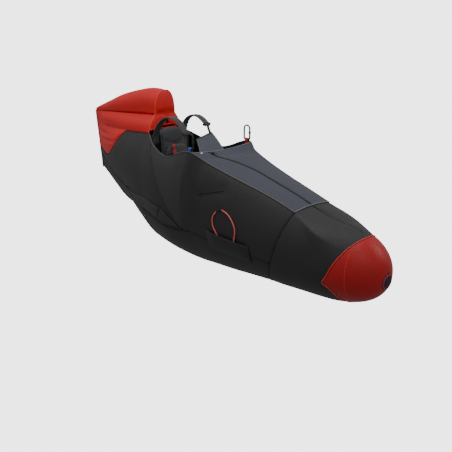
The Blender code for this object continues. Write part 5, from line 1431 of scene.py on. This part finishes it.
def build_hang_loop(side, word):
    """A coloured band folded round the karabiner's bow, its two legs sewn together over the main riser."""
    y = side * HANG_SPAN / 2
    middle = ROD_R + RUN_GAP + LOOP_WALL / 2
    turns = [math.pi * s for s in shares(13)[:7]]
    half = [(middle * math.sin(turn), middle * math.cos(turn)) for turn in turns]
    half += [(middle, -0.006), (middle * 0.8, -0.013), (middle * 0.62, -0.020), (middle * 0.6, -LOOP_TAIL)]
    band = [(-dy, dz) for dy, dz in reversed(half)] + half[1:]
    path = smooth_path([(0, y + dy, dz) for dy, dz in band], 90)
    mesh = ribbon_mesh(path, (1, 0, 0), LOOP_WIDTH, LOOP_WALL)
    colour = "web_blue" if side < 0 else "web_red"
    finish_piece(f"hang_band_{word}", mesh, colour, f"hang_loop_{word}")
    top = Vector((0, y, -LOOP_TAIL - SEAM))
    foot = Vector((0, side * (SEAT_WIDTH / 2 + WEBBING_THICK / 2 + SEAM), SEAT_Z + RISER_FOOT_LIFT))
    path = [lerp(top, foot, s) for s in shares(40)]
    strap(f"riser_webbing_{word}", f"main_riser_{word}", path, (1, 0, 0), WEBBING_WIDTH)
    points, faces = [], []
    halves = [Vector([size if i == k else 0.0 for i in range(3)]) for k, size in enumerate(TACK_HALVES)]
    for row in range(TACK_ROWS):
        for face_side in (-1, 1):
            place = (0, y + face_side * (middle * 0.61 + LOOP_WALL * 0.5), -0.0215 - 0.0011 * row)
            add_box(points, faces, Vector(place), halves)
    finish_piece(f"hang_band_tack_{word}", mesh_of(points, faces), "pad_edge")


def build_leg_strap():
    """Webbing of the leg buckle: strap below its housing, red tape above its tongue."""
    up, across, out = back_axes()
    base = BACK_THICK + LUMBAR_THICK + 3 * SEAM
    middle_out = base + BUCKLE[2] / 2
    lowest = BUCKLE_UP - BUCKLE[1] / 2 - SEAM
    run = [(lowest, middle_out), (lowest - 0.05, base + WEBBING_THICK), (LUMBAR_START - 0.006, base)]
    run.append((LUMBAR_START - 0.040, BACK_THICK + 3 * WEBBING_THICK))
    run.append((BACK_START + 0.040, BACK_THICK + WEBBING_THICK))
    path = smooth_path([back_point(height, BUCKLE_Y, by) for height, by in run], 60)
    strap("leg_webbing", "leg_strap", path, across, WEBBING_WIDTH)
    reach = BUCKLE[1] / 2 + TONGUE[1] - TONGUE_GRIP + RUN_GAP + SEAM
    tip = back_point(BUCKLE_UP, BUCKLE_Y, middle_out) + up * reach
    path = smooth_path([tip, tip + up * 0.016 + out * 0.003, tip + up * 0.034 + out * 0.001], 24)
    strap("tongue_tape", "buckle_tape", path, across, CHEST_WEBBING, "web_red", "buckle_tongue")


def build_speed_lines():
    """Braided lines from the foot bar under the pulleys and up inside the risers."""
    block_width = PULLEY_WIDTH + 2 * CHEEK_THICK + 2 * RUN_GAP
    reach = PULLEY_R + LINE_R + RUN_GAP
    clear = WEBBING_THICK / 2 + LINE_R + SEAM + 0.0005
    for side, word in SIDES:
        y = side * (riser_y(PULLEY_Z - PULLEY_R) - WEBBING_THICK / 2 - 2 * SEAM - block_width / 2)
        centre = Vector((PULLEY_X, y, PULLEY_Z))
        tie = Vector((BAR_X - BAR_R - 2.5 * RUN_GAP, side * (BAR_LENGTH / 2 - 0.012), BAR_Z))
        way = tie - centre
        lean = math.atan2(way.z, way.x)
        turns = [lerp(lean - math.pi / 2, -math.pi, s) for s in shares(24)]
        bend = [centre + Vector((math.cos(turn) * reach, 0, math.sin(turn) * reach)) for turn in turns]
        path = [lerp(tie, bend[0], s) for s in shares(60)[:-1]] + bend
        path += [Vector((PULLEY_X - reach, side * (riser_y(z) - clear), z)) for z in LINE_HEIGHTS]
        line = cord(f"speed_cord_{word}", path, LINE_R, "web", 8, node=f"speed_line_{word}", body=None)
        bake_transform(line)


def repaint():
    """Procedural finishes for the solids that stay in view."""
    for name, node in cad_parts.items():
        for look, starts in SOLID_LOOKS.items():
            if name.startswith(starts):
                node.data.materials.clear()
                node.data.materials.append(LOOKS[look])


# Stage, light and camera

FLOOR_SIDES = 64
FLOOR_PROFILE = ((6.0, 0.0), (14.0, 0.0), (24.0, 0.0), (31.0, 0.9), (36.0, 3.4), (39.0, 8.0), (40.0, 16.0))
# Height share and brightness of the sky's two tones
SKY_TONES = ((0.30, (0.46, 0.46, 0.47, 1)), (0.85, (1.0, 1.0, 1.0, 1)))
# Name, place, aim, width and power
LAMPS = (
    ("top_light", (0.2, -0.6, 3.4), (0.1, 0, -0.2), 3.0, 66.0),
    ("left_light", (-2.6, -2.6, 2.6), (-0.4, 0, 0.0), 2.4, 25.0),
    ("front_light", (3.2, -2.0, 2.4), (0.6, 0, -0.3), 2.4, 16.0),
    ("far_light", (3.0, 2.6, 2.2), (0.7, 0, -0.3), 2.0, 34.0),
)


def build_floor():
    """A wide pale floor that curves up far behind the object, and is evenly lit of itself."""
    points = []
    for radius, rise in FLOOR_PROFILE:
        centre = Vector((0, 0, FLOOR_Z + rise))
        points += circle(centre, Vector((1, 0, 0)), Vector((0, 1, 0)), radius, FLOOR_SIDES)
    mesh = bpy.data.meshes.new("floor")
    mesh.from_pydata([tuple(p) for p in points], [], ring_faces(len(FLOOR_PROFILE), FLOOR_SIDES)[:-1])
    mesh.shade_smooth()
    material, tree, shader, place = new_material("pale_floor")
    grain = noise_factor(tree, place, Scale=3.0, Detail=3.0)
    tone = two_tone(tree, grain, (0.90, 0.90, 0.90), (0.92, 0.92, 0.92))
    tree.links.new(tone, shader.inputs["Emission Color"])
    set_inputs(shader, Base_Color=(0.06, 0.06, 0.06, 1), Specular_IOR_Level=0.0, Roughness=0.9)
    set_inputs(shader, Emission_Strength=FLOOR_GLOW)
    mesh.materials.append(material)
    floor = add_object("floor", mesh)
    floor.visible_diffuse = False
    floor.visible_glossy = False
    floor.visible_shadow = False


def build_light():
    """A soft sky, paler overhead, and four soft lamps."""
    world = bpy.data.worlds.new("studio")
    world.use_nodes = True
    tree = world.node_tree
    way = tree.nodes.new("ShaderNodeTexCoord").outputs["Generated"]
    parts = tree.nodes.new("ShaderNodeSeparateXYZ")
    tree.links.new(way, parts.inputs["Vector"])
    ramp = tree.nodes.new("ShaderNodeValToRGB")
    tree.links.new(add_scaled(tree, 0.5, parts.outputs["Z"], 0.5), ramp.inputs["Fac"])
    for element, (position, colour) in zip(ramp.color_ramp.elements, SKY_TONES):
        element.position = position
        element.color = colour
    background = tree.nodes["Background"]
    tree.links.new(ramp.outputs["Color"], background.inputs["Color"])
    set_inputs(background, Strength=SKY_LIGHT)
    bpy.context.scene.world = world
    for name, place, aim, size, power in LAMPS:
        data = bpy.data.lights.new(name, "AREA")
        data.shape = "DISK"
        data.size = size
        data.energy = power
        lamp = add_object(name, data)
        lamp.location = place
        lamp.rotation_euler = (Vector(aim) - Vector(place)).to_track_quat("-Z", "Y").to_euler()


def build_camera():
    data = bpy.data.cameras.new("camera")
    data.lens = CAMERA_LENS
    data.sensor_width = 36.0
    data.sensor_fit = "HORIZONTAL"
    camera = add_object("camera", data)
    camera.location = CAMERA_PLACE
    camera.rotation_euler = (math.radians(90 - CAMERA_PITCH), 0.0, math.radians(CAMERA_TURN))
    bpy.context.scene.camera = camera


build_camera()
build_floor()
build_light()
build_tail()
build_pod()
build_snap()
build_zip()
build_reserve()
build_side_pocket()
build_belly_flap()
build_seat()
build_straps()
build_speed_lines()
repaint()
